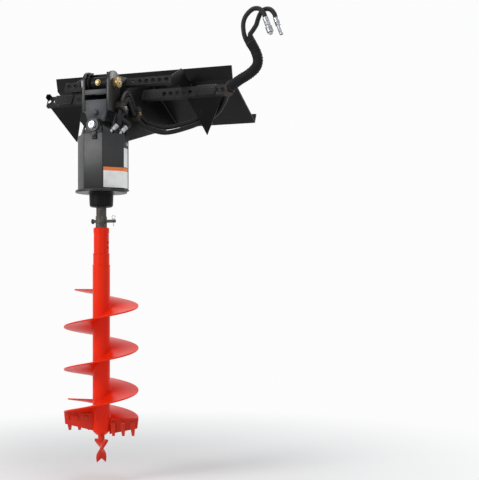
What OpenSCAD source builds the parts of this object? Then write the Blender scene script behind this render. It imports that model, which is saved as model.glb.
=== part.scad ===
// Hydraulic earth auger attachment for a compact loader.
// The frame is drawn rolled forward, the way it is carried with the auger plumb over a hole.
// The origin is the centre of the hitch plate's rear face.
// X runs sideways, -Y is ahead of the loader and +Z is up.

/* [Mounting frame] */
// Forward roll of the frame about the hitch, in degrees
frame_roll = 64.4; // [60:0.1:68]
// Width of the hitch plate
hitch_w = 1076; // [1000:1:1150]
// Height of the hitch plate
hitch_h = 417; // [400:1:440]
// Thickness of the hitch plate
hitch_t = 10; // [8:0.5:14]
// Reach of the hitch plate's top hook and bottom latch rail
hitch_lip = 46; // [35:1:60]
// Width of the latch wedge slots in the bottom rail
latch_slot_w = 70; // [50:1:90]
// Outer width of the boom between its side plates' outer faces
boom_w = 120; // [110:1:122]
// Thickness of the boom's side plates
boom_t = 12; // [8:0.5:16]
// Thickness of the boom's cover plates
boom_cover_t = 8; // [6:0.5:12]
// Height of the swing pin above the hitch plate's centre, along the plate
pin_up = 610; // [600:1:625]
// Distance of the swing pin ahead of the hitch plate's rear face
pin_ahead = 294; // [285:1:305]
// Radius of the boom's head round the swing pin
boom_head_r = 50; // [46:1:54]

/* [Steps] */
// Height of the lower tread above the hitch plate's centre
lower_tread_up = 277; // [265:1:290]
// Distance of the lower tread's rear edge ahead of the hitch plate's rear face
lower_tread_ahead = 95; // [85:1:105]
// Depth of the lower tread from rear to front
lower_tread_d = 65; // [50:1:80]
// Height of the upper tread above the hitch plate's centre
upper_tread_up = 470; // [460:1:480]
// Distance of the upper tread's rear edge ahead of the hitch plate's rear face
upper_tread_ahead = 160; // [155:1:170]
// Depth of the upper tread from rear to front
upper_tread_d = 48; // [40:1:56]
// Half width of the frame over the upper treads
upper_tread_reach = 313; // [290:1:340]
// Height of the treads' turned down edges
tread_lip = 20; // [14:1:26]
// Sheet thickness of the treads
tread_t = 4; // [3:0.5:6]
// Radius of the drain holes in the treads
tread_hole_r = 11; // [7:0.5:13]
// Pitch of the drain holes in the treads
tread_hole_pitch = 38; // [32:1:50]
// Length of the hanging wing plates below the lower tread
wing_drop = 209; // [170:1:230]
// Thickness of the wing plates
wing_t = 6; // [4:0.5:10]

/* [Yoke] */
// Distance between the outer faces of the yoke's side plates
yoke_w = 156; // [154:1:164]
// Thickness of the yoke's side plates
yoke_t = 16; // [12:0.5:16]
// Radius of the yoke's rounded top
yoke_top_r = 62; // [56:1:66]
// Length of the yoke's side plates below the swing pin
yoke_side_drop = 150; // [135:1:160]
// Distance from the swing pin's axis down to the tilt pin's axis
pin_to_pin = 225; // [215:1:235]
// Radius of the swing pin
swing_pin_r = 22; // [18:0.5:24]
// Radius of the swing pin's head
swing_head_r = 27; // [25:0.5:34]
// Thickness of the swing pin's head
swing_head_t = 30; // [20:1:36]
// Radius of the tilt pin
tilt_pin_r = 19; // [16:0.5:21]
// Outer radius of the yoke's lower boss
yoke_boss_r = 38; // [34:0.5:40]

/* [Drive housing] */
// Height of the tilt pin's axis above the housing's walls
ear_rise = 40.5; // [38:0.5:46]
// Half width of the housing
house_half_w = 131.5; // [128:0.5:136]
// Half width of the housing's front and rear faces
house_face_half_w = 53.5; // [50:0.5:58]
// Distance from the output axis to the housing's front face
house_front = 88; // [86:1:96]
// Distance from the output axis to the housing's rear face
house_rear = 128; // [122:1:130]
// Height of the housing's walls above the flange's underside
house_h = 297; // [290:1:300]
// Wall thickness of the housing
house_wall = 8; // [6:0.5:10]
// Radius of the round output flange
flange_r = 132; // [128:0.5:138]
// Thickness of the output flange
flange_t = 12; // [10:0.5:16]
// Radius of the output neck at its top
neck_r = 62; // [60:0.5:66]
// Length of the output neck below the flange's underside
neck_l = 72.5; // [70:0.5:80]

/* [Gear train] */
// Tooth module of the planetary gears
gear_module = 3; // [2.8:0.1:3.2]
// Teeth on the sun gear
sun_teeth = 12; // [12:6:12]
// Teeth on each planet gear
planet_teeth = 18; // [18:6:18]
// Face width of the planet gears
gear_face = 40; // [34:1:42]
// Radius of the planet pins
planet_pin_r = 8; // [6:0.5:10]
// Radius of the output shaft in its bearings
shaft_r = 30; // [28:0.5:32]

/* [Auger] */
// Width across the flats of the output shaft's hexagon
hex_af = 41.3; // [38:0.1:43]
// Outer radius of the auger's bare hub socket
hub_r = 29; // [28:0.5:31]
// Outer radius of the auger's painted collar
collar_r = 39; // [37:0.5:42]
// Outer radius of the auger's centre tube
tube_r = 44.5; // [42:0.5:48]
// Outer radius of the flighting
flight_r = 190.5; // [170:0.5:210]
// Pitch of the flighting
flight_pitch = 217; // [205:1:230]
// Thickness of the flighting
flight_t = 7; // [5:0.5:10]
// Turns of the main flight
flight_turns = 2.9; // [2.5:0.05:3]
// Height of the cutting blades
blade_h = 62; // [50:1:75]
// Thickness of the cutting blades
blade_t = 14; // [10:0.5:18]
// Length of the pilot bit below the centre tube
pilot_l = 160; // [140:1:200]

/* [Hoses] */
// Radius of the hydraulic hoses
hose_r = 12.5; // [10:0.5:13]
// Radius of the sleeve round the hose bundle
sleeve_r = 29; // [27:0.5:31]
// Length of a hose coupler's body
coupler_l = 95; // [80:1:110]
// Radius of a hose coupler's body
coupler_r = 14; // [12:0.5:15]

/* [Hidden] */
$fn = 64;

// Overrun of every cut past the face it opens
cut = 1;
// Running clearance of a shaft in its bush, on the radius
run = 0.05;
// Seat gap between pieces that are welded or bolted together
seat = 0.3;

// Places that follow from the driving sizes
pin_y = -(pin_ahead * cos(frame_roll) + pin_up * sin(frame_roll));
pin_z = pin_up * cos(frame_roll) - pin_ahead * sin(frame_roll);
pin_to_flange = house_h + ear_rise;
flange_z = pin_z - pin_to_pin - pin_to_flange;
yoke_in = yoke_w / 2 - yoke_t;

// Coordinates of the mounting frame standing upright: [sideways, -ahead, up]
module in_frame() rotate([frame_roll, 0, 0]) children();
// Coordinates of the yoke: the origin is the swing pin's axis
module in_yoke() translate([0, pin_y, pin_z]) children();
// Coordinates of the drive: the origin is the output axis at the flange's underside
module in_drive() translate([0, pin_y, flange_z]) children();

// An outline in the plane of Y and Z, extruded along X from x
module side_sheet(x, t) translate([x, 0, 0]) rotate([90, 0, 90]) linear_extrude(t) children();
// A cylinder along X, centred
module x_rod(r, l) rotate([0, 90, 0]) cylinder(r = r, h = l, center = true);
// A cylinder along Y from y = 0 towards +Y
module y_rod(r, l) rotate([-90, 0, 0]) cylinder(r = r, h = l);
// A hexagonal bar along Z from z = 0, measured across its flats
module hex_bar(af, h) cylinder(r = af / 2 / cos(30), h = h, $fn = 6);

// Mounting frame

// Room between the latch slots and the plate's centre line
latch_slot_x = 400;
latch_slot_d = 24;
// Trim of welded plates at corners where another plate passes
weld_trim = 14;
// Places of the boom's outline: [ahead, up] of its stop edge, and the hitch plate's corners
stop_top = [317, 418];
stop_foot = [475, 343];
boom_heel = [hitch_t + seat, -hitch_h / 2 + hitch_t];
boom_top = [hitch_t + seat, hitch_h / 2 - hitch_t];
// Directions of the boom's two tangents from its head, in degrees from straight ahead
head_top_dir = 145;
head_front_dir = 6;
// Pointed ears of the boom's side plates, as [ahead, up] from the swing pin
ear_tip = [-30, 55];
ear_root_front = [2, 30];
ear_root_rear = [-62, 12];
pivot_tube_r = 36;
bush_wall = 4;
pin_site = [pin_ahead, pin_up];

function on_head(dir) = pin_site + boom_head_r * [cos(dir), sin(dir)];
// Turns an [ahead, up] place into the plane that side_sheet extrudes
function ahead_up(p) = [-p[0], p[1]];

module hitch_plate() color("#1c1d1f") in_frame() {
    // The plate, its hook along the top and its latch rail along the bottom
    difference() {
        union() {
            side_sheet(-hitch_w / 2, hitch_w) polygon([
                ahead_up([0, -hitch_h / 2]), ahead_up([hitch_t, -hitch_h / 2]),
                ahead_up([hitch_t, hitch_h / 2]), ahead_up([-hitch_lip, hitch_h / 2 + hitch_lip]),
                ahead_up([-hitch_lip - hitch_t / 2, hitch_h / 2 + hitch_lip - hitch_t]),
                ahead_up([0, hitch_h / 2 - hitch_t / 2])
            ]);
            side_sheet(-hitch_w / 2, hitch_w) polygon([
                ahead_up([0, -hitch_h / 2]), ahead_up([0, -hitch_h / 2 + hitch_t]),
                ahead_up([-hitch_lip, -hitch_h / 2 + hitch_t]), ahead_up([-hitch_lip, -hitch_h / 2])
            ]);
        }
        for (side = [-1, 1])
            translate([side * latch_slot_x, hitch_lip / 2, -hitch_h / 2 - cut])
                translate([-latch_slot_w / 2, -latch_slot_d / 2, 0])
                    cube([latch_slot_w, latch_slot_d, hitch_t + 2 * cut]);
    }
}

module boom_outline() {
    polygon([for (p = [boom_top, on_head(head_top_dir), pin_site, on_head(head_front_dir), stop_top,
        stop_foot, boom_heel]) ahead_up(p)]);
    translate(ahead_up(pin_site)) circle(r = boom_head_r);
    polygon([for (p = [ear_tip, ear_root_front, ear_root_rear]) ahead_up(pin_site + p)]);
}

module boom_side(x) color("#222325") in_frame() difference() {
    side_sheet(x, boom_t) boom_outline();
    translate([x + boom_t / 2, -pin_ahead, pin_up]) x_rod(pivot_tube_r, boom_t + 2 * cut);
}
module boom_side_left() boom_side(boom_w / 2 - boom_t);
module boom_side_right() boom_side(-boom_w / 2);

// A cover plate between the boom's sides, along the outline from p to q with its thickness inward
module edge_plate(p, q) {
    run_l = norm(q - p) - 2 * weld_trim;
    dir = atan2(q[1] - p[1], -(q[0] - p[0]));
    inner_w = boom_w - 2 * boom_t;
    translate([-inner_w / 2, -p[0], p[1]]) rotate([dir, 0, 0])
        translate([0, weld_trim, -boom_cover_t]) cube([inner_w, run_l, boom_cover_t]);
}

module boom_covers() color("#26272a") in_frame() {
    edge_plate(on_head(head_top_dir), boom_top);
    edge_plate(boom_heel, stop_foot);
    edge_plate(stop_foot, stop_top);
}

module pivot_tube() color("#26272a") in_frame() translate([0, -pin_ahead, pin_up]) difference() {
    x_rod(pivot_tube_r - run, 2 * yoke_in - 2 * seat);
    x_rod(swing_pin_r + bush_wall, yoke_w);
}

module pivot_bushings() color("#9a7b3c") in_frame() translate([0, -pin_ahead, pin_up])
    for (side = [-1, 1]) translate([side * (yoke_in / 2 + pivot_tube_r / 4), 0, 0]) difference() {
        x_rod(swing_pin_r + bush_wall - run / 5, yoke_in - pivot_tube_r / 2 - 2 * seat);
        x_rod(swing_pin_r + run, yoke_w);
    }

// Steps

// A tread from x0 to x1: a channel with its edges turned down and a row of drain holes
module tread(x0, x1, ahead, up, depth, holes) color("#4b4d50") in_frame() difference() {
    translate([x0, -ahead - depth, up - tread_lip]) cube([x1 - x0, depth, tread_lip]);
    translate([x0 - cut, -ahead - depth + tread_t, up - tread_lip - cut])
        cube([x1 - x0 + 2 * cut, depth - 2 * tread_t, tread_lip - tread_t + cut]);
    for (x = holes)
        translate([x, -ahead - depth / 2, up - tread_lip])
            cylinder(r = min(tread_hole_r, depth / 2 - 2 * tread_t), h = 2 * tread_lip);
}

tread_reach = hitch_w / 2;
block_out = 163;
block_from = tread_reach - block_out;
block_w = 110;
block_h = 8;
tread_in = boom_w / 2 + seat;
lower_holes = [for (i = [0 : 4]) block_from - tread_hole_pitch * (i + 1)];
upper_holes = [for (i = [0 : 5]) upper_tread_reach - tread_hole_pitch * (i + 1) + tread_hole_r];
end_holes = [for (i = [0 : 1]) tread_reach - tread_hole_pitch * (i + 0.5) + tread_hole_r / 2];

module lower_tread_left() tread(tread_in, tread_reach, lower_tread_ahead, lower_tread_up, lower_tread_d,
    concat(lower_holes, end_holes));
module lower_tread_right() tread(-tread_reach, -tread_in, lower_tread_ahead, lower_tread_up, lower_tread_d,
    -concat(lower_holes, end_holes));
module upper_tread_left() tread(tread_in, upper_tread_reach, upper_tread_ahead, upper_tread_up,
    upper_tread_d, upper_holes);
module upper_tread_right() tread(-upper_tread_reach, -tread_in, upper_tread_ahead, upper_tread_up,
    upper_tread_d, -upper_holes);

// Grip plates on the lower treads, and the small upturned hook at the right hand end
hook_h = 26;
hook_w = 24;
module tread_blocks() color("#5c5f63") in_frame() {
    for (side = [-1, 1])
        translate([side * (block_from + block_w / 2) - block_w / 2, -lower_tread_ahead - lower_tread_d,
            lower_tread_up + seat])
            cube([block_w, lower_tread_d, block_h]);
    translate([-tread_reach, -lower_tread_ahead - tread_t, lower_tread_up + seat])
        cube([hook_w, tread_t, hook_h]);
    translate([-tread_reach, -lower_tread_ahead - hook_w, lower_tread_up + seat])
        cube([tread_t, hook_w - tread_t, hook_h]);
}

// Upright plates that carry both treads from the hitch plate
post_x = 284;
post_t = 8;
post_rise = 330;
module step_posts() color("#1f2022") in_frame() for (side = [-1, 1])
    side_sheet(side * post_x - post_t / 2, post_t) polygon([for (p = [
        [hitch_t + seat, -hitch_h / 2 + hitch_t],
        [hitch_t + seat, post_rise],
        [upper_tread_ahead, upper_tread_up - tread_lip - seat],
        [upper_tread_ahead + upper_tread_d, upper_tread_up - tread_lip - seat],
        [upper_tread_ahead + upper_tread_d, upper_tread_up - 2 * tread_lip],
        [lower_tread_ahead - seat, lower_tread_up + tread_lip],
        [lower_tread_ahead - seat, lower_tread_up / 2]
    ]) ahead_up(p)]);

// Hanging wing plates below the lower treads: root corners and tip, sideways
wing_root_in = 320;
wing_root_out = tread_reach - 16;
wing_tip_x = 400;
// Rise of the wing's plane from straight ahead, in degrees downward
wing_dip = 50;
module wing(side) color("#2a2b2c") in_frame()
    translate([0, -lower_tread_ahead - lower_tread_d + tread_t, lower_tread_up - tread_lip - seat])
        rotate([180 + wing_dip, 0, 0]) mirror([side < 0 ? 1 : 0, 0, 0])
            linear_extrude(wing_t)
                polygon([[wing_root_in, 0], [wing_root_out, 0], [wing_tip_x, wing_drop]]);
module wing_left() wing(1);
module wing_right() wing(-1);

// Hose clamps, each round two hoses that run along local Z, side by side along local Y
clamp_l = 34;
clamp_wall = 7;
hose_gap = 15;
clamp_half_x = hose_r + clamp_wall;
clamp_half_y = hose_gap + hose_r + clamp_wall;
clamp_bolt_r = 8;
clamp_bolt_h = 8;
// The boom's clamp in the whole part's frame, and its lean from upright about X
boom_clamp_at = [boom_w / 2 + clamp_half_x + seat, -430, -120];
boom_clamp_lean = -109;
// The clamp at the end of the lower tread: its place in the frame, and its lean about the frame's Y
end_clamp_lean = 45;
end_clamp_step = (clamp_half_x + clamp_l / 2) * cos(end_clamp_lean);
end_clamp_x = tread_reach + end_clamp_step + seat;
end_clamp_ahead = lower_tread_ahead + lower_tread_d / 2;
// The yoke's clamp, from the swing pin, and its lean from upright about X
yoke_clamp_at = [yoke_w / 2 + clamp_half_x + seat, 40, -125];
yoke_clamp_lean = -25;

module clamp_block() difference() {
    children();
    for (side = [-1, 1])
        translate([0, side * hose_gap, -clamp_l]) cylinder(r = hose_r + seat, h = 2 * clamp_l);
}
module clamp_body() translate([-clamp_half_x, -clamp_half_y, -clamp_l / 2])
    cube([2 * clamp_half_x, 2 * clamp_half_y, clamp_l]);
// The bolt that closes a clamp, between its two hoses, with its head on the outer side
module clamp_bolt() translate([clamp_half_x + seat, 0, 0]) rotate([0, 90, 0])
    hex_bar(2 * clamp_bolt_r, clamp_bolt_h);

module end_clamp_place() in_frame() translate([end_clamp_x, -end_clamp_ahead, lower_tread_up]) children();
module boom_clamp_place() translate(boom_clamp_at) rotate([boom_clamp_lean, 0, 0]) children();

module frame_clamps() color("#3a2d26") {
    boom_clamp_place() clamp_block() clamp_body();
    end_clamp_place() rotate([0, end_clamp_lean, 0]) clamp_block() {
        union() {
            clamp_body();
            rotate([0, -end_clamp_lean, 0]) translate([-end_clamp_step, -clamp_half_y, -clamp_l / 2])
                cube([end_clamp_step, 2 * clamp_half_y, clamp_l / 2]);
        }
    }
}

// Bolts of the frame's clamps, and the bolt that locks the pivot tube in the boom's head
lock_bolt_r = 12;
lock_bolt_h = 9;
module frame_bolts() color("#c8a54a") {
    boom_clamp_place() clamp_bolt();
    end_clamp_place() rotate([0, end_clamp_lean, 0]) clamp_bolt();
    translate([0, pin_y - pivot_tube_r - seat, pin_z]) rotate([90, 0, 0])
        hex_bar(2 * lock_bolt_r, lock_bolt_h);
}

// Yoke

yoke_rear = 50;
cross_bar_from = 40;
cross_bar_h = 25;
front_plate_from = 92;
front_plate_t = 12;
plate_taper_w = 44;
plate_foot = 205;

module yoke_side(x) color("#232426") in_yoke() difference() {
    union() {
        side_sheet(x, yoke_t) circle(r = yoke_top_r);
        side_sheet(x, yoke_t) polygon([[-yoke_top_r, 0], [-yoke_top_r, -yoke_side_drop],
            [yoke_rear, -yoke_side_drop], [yoke_top_r, -cross_bar_from], [yoke_top_r, 0]]);
    }
    translate([x + yoke_t / 2, 0, 0]) x_rod(swing_pin_r + run, yoke_t + 2 * cut);
}
module yoke_side_left() yoke_side(yoke_in);
module yoke_side_right() yoke_side(-yoke_in - yoke_t);

// A plate across the yoke from y, tapered down to the lower boss
module yoke_web(y) difference() {
    translate([0, y + front_plate_t, 0]) rotate([90, 0, 0]) linear_extrude(front_plate_t) polygon([
        [-yoke_in, -front_plate_from], [yoke_in, -front_plate_from], [yoke_in, -yoke_side_drop],
        [plate_taper_w, -plate_foot], [-plate_taper_w, -plate_foot], [-yoke_in, -yoke_side_drop]
    ]);
    translate([0, -2 * yoke_top_r, -pin_to_pin]) y_rod(yoke_boss_r + run, 4 * yoke_top_r);
}

module yoke_plates() color("#5a5d61") in_yoke() {
    translate([-yoke_in, -yoke_top_r, -cross_bar_from - cross_bar_h])
        cube([2 * yoke_in, yoke_top_r - cross_bar_from, cross_bar_h]);
    yoke_web(-yoke_top_r);
    yoke_web(yoke_rear - front_plate_t);
}

// Room between the lower boss and the drive's ears, and thickness of the rear ear
ear_gap = 3;
rear_ear_t = 12;
boss_front = -house_front + house_wall + ear_gap;
boss_rear = yoke_rear + 2 * ear_gap;
tilt_bush_l = 42;

module yoke_boss() color("#27282a") in_yoke() translate([0, boss_front, -pin_to_pin]) difference() {
    y_rod(yoke_boss_r, boss_rear - boss_front);
    translate([0, -cut, 0]) y_rod(tilt_pin_r + bush_wall, boss_rear - boss_front + 2 * cut);
}

module tilt_bushings() color("#9a7b3c") in_yoke() translate([0, 0, -pin_to_pin])
    for (y = [boss_front, boss_rear - tilt_bush_l]) translate([0, y, 0]) difference() {
        y_rod(tilt_pin_r + bush_wall - run / 5, tilt_bush_l);
        translate([0, -cut, 0]) y_rod(tilt_pin_r + run, tilt_bush_l + 2 * cut);
    }

yoke_bolt_r = 13;
yoke_bolt_h = 10;
yoke_bolt_drop = 158;
nut_h = 20;
nut_af = 62;
pin_tail = 4;

module swing_pin() color("#b9963f") in_yoke() {
    half = yoke_w / 2;
    translate([-half - nut_h - pin_tail, 0, 0]) rotate([0, 90, 0])
        cylinder(r = swing_pin_r, h = 2 * half + nut_h + pin_tail + seat);
    translate([half + seat, 0, 0]) rotate([0, 90, 0]) rotate_extrude() polygon([
        [0, 0], [swing_head_r, 0], [swing_head_r, swing_head_t - pin_tail],
        [swing_head_r - pin_tail, swing_head_t], [0, swing_head_t]
    ]);
}

module yoke_fasteners() color("#8b8d90") in_yoke() {
    translate([0, -yoke_top_r - seat, -yoke_bolt_drop]) rotate([90, 0, 0])
        hex_bar(2 * yoke_bolt_r, yoke_bolt_h);
    translate([-yoke_w / 2 - seat, 0, 0]) rotate([0, -90, 0]) difference() {
        hex_bar(nut_af, nut_h);
        translate([0, 0, -cut]) cylinder(r = swing_pin_r + run, h = nut_h + 2 * cut);
    }
    yoke_clamp_place() clamp_bolt();
}

module yoke_clamp_place() translate(yoke_clamp_at) rotate([yoke_clamp_lean, 0, 0]) children();
module yoke_clamp() color("#2b2c2e") in_yoke() yoke_clamp_place() clamp_block() clamp_body();

// Drive unit

ear_r = 35.5;
ear_ring_r = 34;
ear_ring_t = 10;
ear_flare = 20;
gusset_l = 55;
cover_t = 8;
cover_drop = 16;
fitting_sites = [[62, -20], [84, 40]];
fitting_r = 11;

// Half of the angle between neighbouring walls of the housing
half_corner = 22.5;
// The housing's eight sided outline, drawn in by t on every side
function house_points(t) = let(
    face = house_face_half_w - t * tan(half_corner),
    half = house_half_w - t,
    front = house_front - t,
    rear = house_rear - t,
    corner = half - face
) [[-face, -front], [face, -front], [half, corner - front], [half, rear - corner],
    [face, rear], [-face, rear], [-half, rear - corner], [-half, corner - front]];

// An ear in the plane of X and Z with its foot at z = foot and its eye on the tilt pin, from y towards +Y
module ear(y, t, foot, half_w) translate([0, y + t, 0]) rotate([90, 0, 0]) linear_extrude(t) {
    translate([0, pin_to_flange]) circle(r = ear_r);
    polygon([[-half_w, foot], [half_w, foot],
        [(ear_r - cut) * cos(ear_flare), pin_to_flange + (ear_r - cut) * sin(ear_flare)],
        [(cut - ear_r) * cos(ear_flare), pin_to_flange + (ear_r - cut) * sin(ear_flare)]]);
}
module tilt_eye(y, l) translate([0, y - cut, pin_to_flange]) y_rod(tilt_pin_r + run, l + 2 * cut);

module drive_housing() color("#1e1f21") in_drive() difference() {
    union() {
        translate([0, 0, flange_t + seat]) linear_extrude(house_h - flange_t - seat) difference() {
            polygon(house_points(0));
            polygon(house_points(house_wall));
        }
        ear(-house_front, house_wall - seat, house_h - cut, house_face_half_w - seat);
        translate([0, -house_front - ear_ring_t, pin_to_flange]) y_rod(ear_ring_r, ear_ring_t);
        for (side = [0, 1]) mirror([side, 0, 0])
            translate([house_face_half_w, -house_front, house_h]) rotate([0, 0, 45])
                translate([0, house_wall - seat, 0]) rotate([90, 0, 0]) linear_extrude(house_wall - 2 * seat)
                    polygon([[ear_gap / 2, -cut], [gusset_l, -cut], [ear_gap / 2, ear_rise]]);
    }
    tilt_eye(-house_front - ear_ring_t, ear_ring_t + house_wall);
}

module top_cover() color("#242527") in_drive() {
    rear_ear_y = boss_rear + ear_gap;
    cover_z = house_h - cover_drop;
    difference() {
        union() {
            translate([0, 0, cover_z]) linear_extrude(cover_t) polygon(house_points(house_wall + seat));
            ear(rear_ear_y, rear_ear_t, cover_z + cover_t, ear_r + rear_ear_t);
        }
        tilt_eye(rear_ear_y, rear_ear_t);
        for (site = fitting_sites)
            translate([site[0], site[1], 0]) cylinder(r = fitting_r + seat, h = house_h);
    }
}

pin_nose = 6;
module tilt_pin() color("#7d7f82") in_drive() {
    front = house_front + ear_ring_t + pin_nose;
    translate([0, -front, pin_to_flange])
        y_rod(tilt_pin_r, front + boss_rear + ear_gap + rear_ear_t + pin_nose);
}

keeper_x = 8;
keeper_w = 26;
keeper_h = 36;
keeper_t = 7;
keeper_bolt_r = 8;
keeper_bolt_h = 7;
module keeper_plate() color("#2d2e30") in_drive() translate([keeper_x, -house_front - seat, 0]) {
    keeper_top = pin_to_flange - ear_ring_r - seat;
    translate([-keeper_w / 2, -keeper_t, keeper_top - keeper_h]) cube([keeper_w, keeper_t, keeper_h]);
    translate([0, -keeper_t, keeper_top - keeper_h / 2]) rotate([90, 0, 0])
        hex_bar(2 * keeper_bolt_r, keeper_bolt_h);
}

// Bearing housing: the neck below the flange and the gear case's seat above it
neck_taper = 2;
neck_round = 12;
neck_fillet = 8;
hub_seat_r = 79;
hub_seat_h = 24;
carrier_room_r = 72;
bearing_r = 50;
bearing_web = 6;
upper_bearing_h = 28;
lower_bearing_h = 24;
lower_bearing_z = -56;
seal_r = 40;
seal_h = 9;
seal_lip_r = 26;
hub_top = flange_t + hub_seat_h;
case_floor = 18;
arc_steps = 6;

function arc_points(centre, r, a0, a1, n) = [for (i = [0 : n]) let(a = a0 + (a1 - a0) * i / n)
    centre + r * [cos(a), sin(a)]];

module output_flange() color("#232426") in_drive() difference() {
    cylinder(r = flange_r, h = flange_t);
    translate([0, 0, -cut]) cylinder(r = neck_r + neck_fillet + run, h = flange_t + 2 * cut);
}

module bearing_housing() color("#26282a") in_drive() rotate_extrude() polygon(concat(
    [[seal_r, -neck_l]],
    arc_points([neck_r - neck_taper - neck_round, neck_round - neck_l], neck_round, -90, 0, arc_steps),
    arc_points([neck_r + neck_fillet, -neck_fillet], neck_fillet, 180, 90, arc_steps),
    [
        [neck_r + neck_fillet, flange_t + seat], [hub_seat_r, flange_t + seat], [hub_seat_r, hub_top],
        [carrier_room_r, hub_top], [carrier_room_r, case_floor], [bearing_r, case_floor],
        [bearing_r, case_floor - upper_bearing_h], [bearing_r - bearing_web, case_floor - upper_bearing_h],
        [bearing_r - bearing_web, lower_bearing_z + lower_bearing_h],
        [bearing_r, lower_bearing_z + lower_bearing_h], [bearing_r, lower_bearing_z],
        [seal_r, lower_bearing_z]
    ]
));

// A ring from z, bored to run on a shaft
module ring(outer, inner, z, h) translate([0, 0, z]) difference() {
    cylinder(r = outer, h = h);
    translate([0, 0, -cut]) cylinder(r = inner, h = h + 2 * cut);
}

module shaft_bearings() color("#b4b6b9") in_drive() {
    ring(bearing_r - run, shaft_r + run, case_floor - upper_bearing_h + run, upper_bearing_h - 2 * run);
    ring(bearing_r - run, shaft_r + run, lower_bearing_z + run, lower_bearing_h - 2 * run);
}
module shaft_seal() color("#141414") in_drive()
    ring(seal_r - run, seal_lip_r + run, seal_h / 3 - neck_l, seal_h);

// Gear train

ring_teeth = sun_teeth + 2 * planet_teeth;
gear_reach = gear_module * (sun_teeth + planet_teeth) / 2;
addendum_share = 0.8;
dedendum_share = 1.1;
tooth_share = 0.225;
flank_angle = 20;
carrier_t = 14;
carrier_r = 66;
// Gaps under the carrier plate and between it and the gears
carrier_gap = 2;
gear_gap = 8;
gear_z = case_floor + carrier_t + gear_gap;
carrier_z = case_floor + carrier_gap;
ring_h = gear_face + carrier_t - ear_gap;
gear_cover_t = 12;
sun_shaft_r = 12;
sun_shaft_l = 70;

// Tooth outline of a gear: outward teeth for sign = 1, inward teeth for sign = -1
function gear_points(teeth, sign, turn) = let(
    r = gear_module * teeth / 2,
    half = 360 * tooth_share / teeth,
    tip = gear_module * addendum_share,
    root = gear_module * dedendum_share,
    slope = tan(flank_angle) * 180 / PI
) [for (i = [0 : teeth - 1], s = [[-1, -root], [-1, 0], [-1, tip], [1, tip], [1, 0], [1, -root]])
    let(rr = r + sign * s[1], a = turn + 360 * i / teeth + s[0] * (half - slope * s[1] / r))
    rr * [cos(a), sin(a)]];

module planet(i) color("#8d8f92") in_drive() rotate([0, 0, 120 * i]) translate([gear_reach, 0, gear_z])
    difference() {
        linear_extrude(gear_face) polygon(gear_points(planet_teeth, 1, 180 / planet_teeth));
        translate([0, 0, -cut]) cylinder(r = planet_pin_r + run, h = gear_face + 2 * cut);
    }
module planet_gear_1() planet(0);
module planet_gear_2() planet(1);
module planet_gear_3() planet(2);

module ring_gear() color("#77797c") in_drive() translate([0, 0, hub_top]) linear_extrude(ring_h)
    difference() {
        circle(r = hub_seat_r);
        polygon(gear_points(ring_teeth, -1, 0));
    }

motor_z = hub_top + ring_h + gear_cover_t;
module gear_cover() color("#303234") in_drive()
    ring(hub_seat_r, sun_shaft_r + 2 * ear_gap, hub_top + ring_h, gear_cover_t);

module sun_shaft() color("#9b9da0") in_drive() translate([0, 0, gear_z]) {
    linear_extrude(gear_face) polygon(gear_points(sun_teeth, 1, 0));
    translate([0, 0, gear_face]) cylinder(r = sun_shaft_r, h = sun_shaft_l);
}

motor_r = 58;
motor_h = 92;
block_from_x = -40;
block_to_x = 96;
block_from_y = -32;
block_to_y = 62;
// Room between the motor's port block and the top cover
valve_gap = 34;
valve_h = house_h - cover_drop - valve_gap - motor_z - motor_h;
module hydraulic_motor() color("#3b3d40") in_drive() translate([0, 0, motor_z]) difference() {
    union() {
        cylinder(r = motor_r, h = motor_h);
        translate([block_from_x, block_from_y, motor_h])
            cube([block_to_x - block_from_x, block_to_y - block_from_y, valve_h]);
    }
    translate([0, 0, -cut]) cylinder(r = sun_shaft_r + run, h = motor_h);
}

// Hose elbows: an upright stem on each port, a round body and an outlet that leans to the left and rear
fitting_rise = 15;
elbow_r = 14;
outlet_l = 38;
outlet_r = 11;
outlet_turn = 40;
outlet_lean = 45;
function outlet_dir() = [sin(outlet_lean) * cos(outlet_turn), sin(outlet_lean) * sin(outlet_turn),
    cos(outlet_lean)];
function fitting_end(i, l) = [fitting_sites[i][0], fitting_sites[i][1], house_h + fitting_rise]
    + (outlet_l + l) * outlet_dir();

module drive_fittings() color("#c9ccd0") in_drive() for (site = fitting_sites) {
    translate([site[0], site[1], motor_z + motor_h + valve_h + seat])
        cylinder(r = fitting_r, h = house_h + fitting_rise - motor_z - motor_h - valve_h - seat);
    translate([site[0], site[1], house_h + fitting_rise]) {
        sphere(r = elbow_r);
        rotate([0, outlet_lean, outlet_turn]) {
            cylinder(r = outlet_r, h = outlet_l);
            translate([0, 0, outlet_l / 2]) hex_bar(2 * elbow_r, outlet_l / 4);
        }
    }
}

grease_cap_r = 17;
grease_cap_t = 6;
port_plug_r = 8;
port_plug_t = 5;
port_plug_site = [25, 248];
module drive_plugs() color("#d8dade") in_drive() {
    translate([0, -house_front - ear_ring_t - pin_nose - grease_cap_t - seat, pin_to_flange])
        y_rod(grease_cap_r, grease_cap_t);
    translate([house_half_w + seat, port_plug_site[0], port_plug_site[1]]) rotate([0, 90, 0])
        hex_bar(2 * port_plug_r, port_plug_t);
}

// Output shaft and auger

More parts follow.
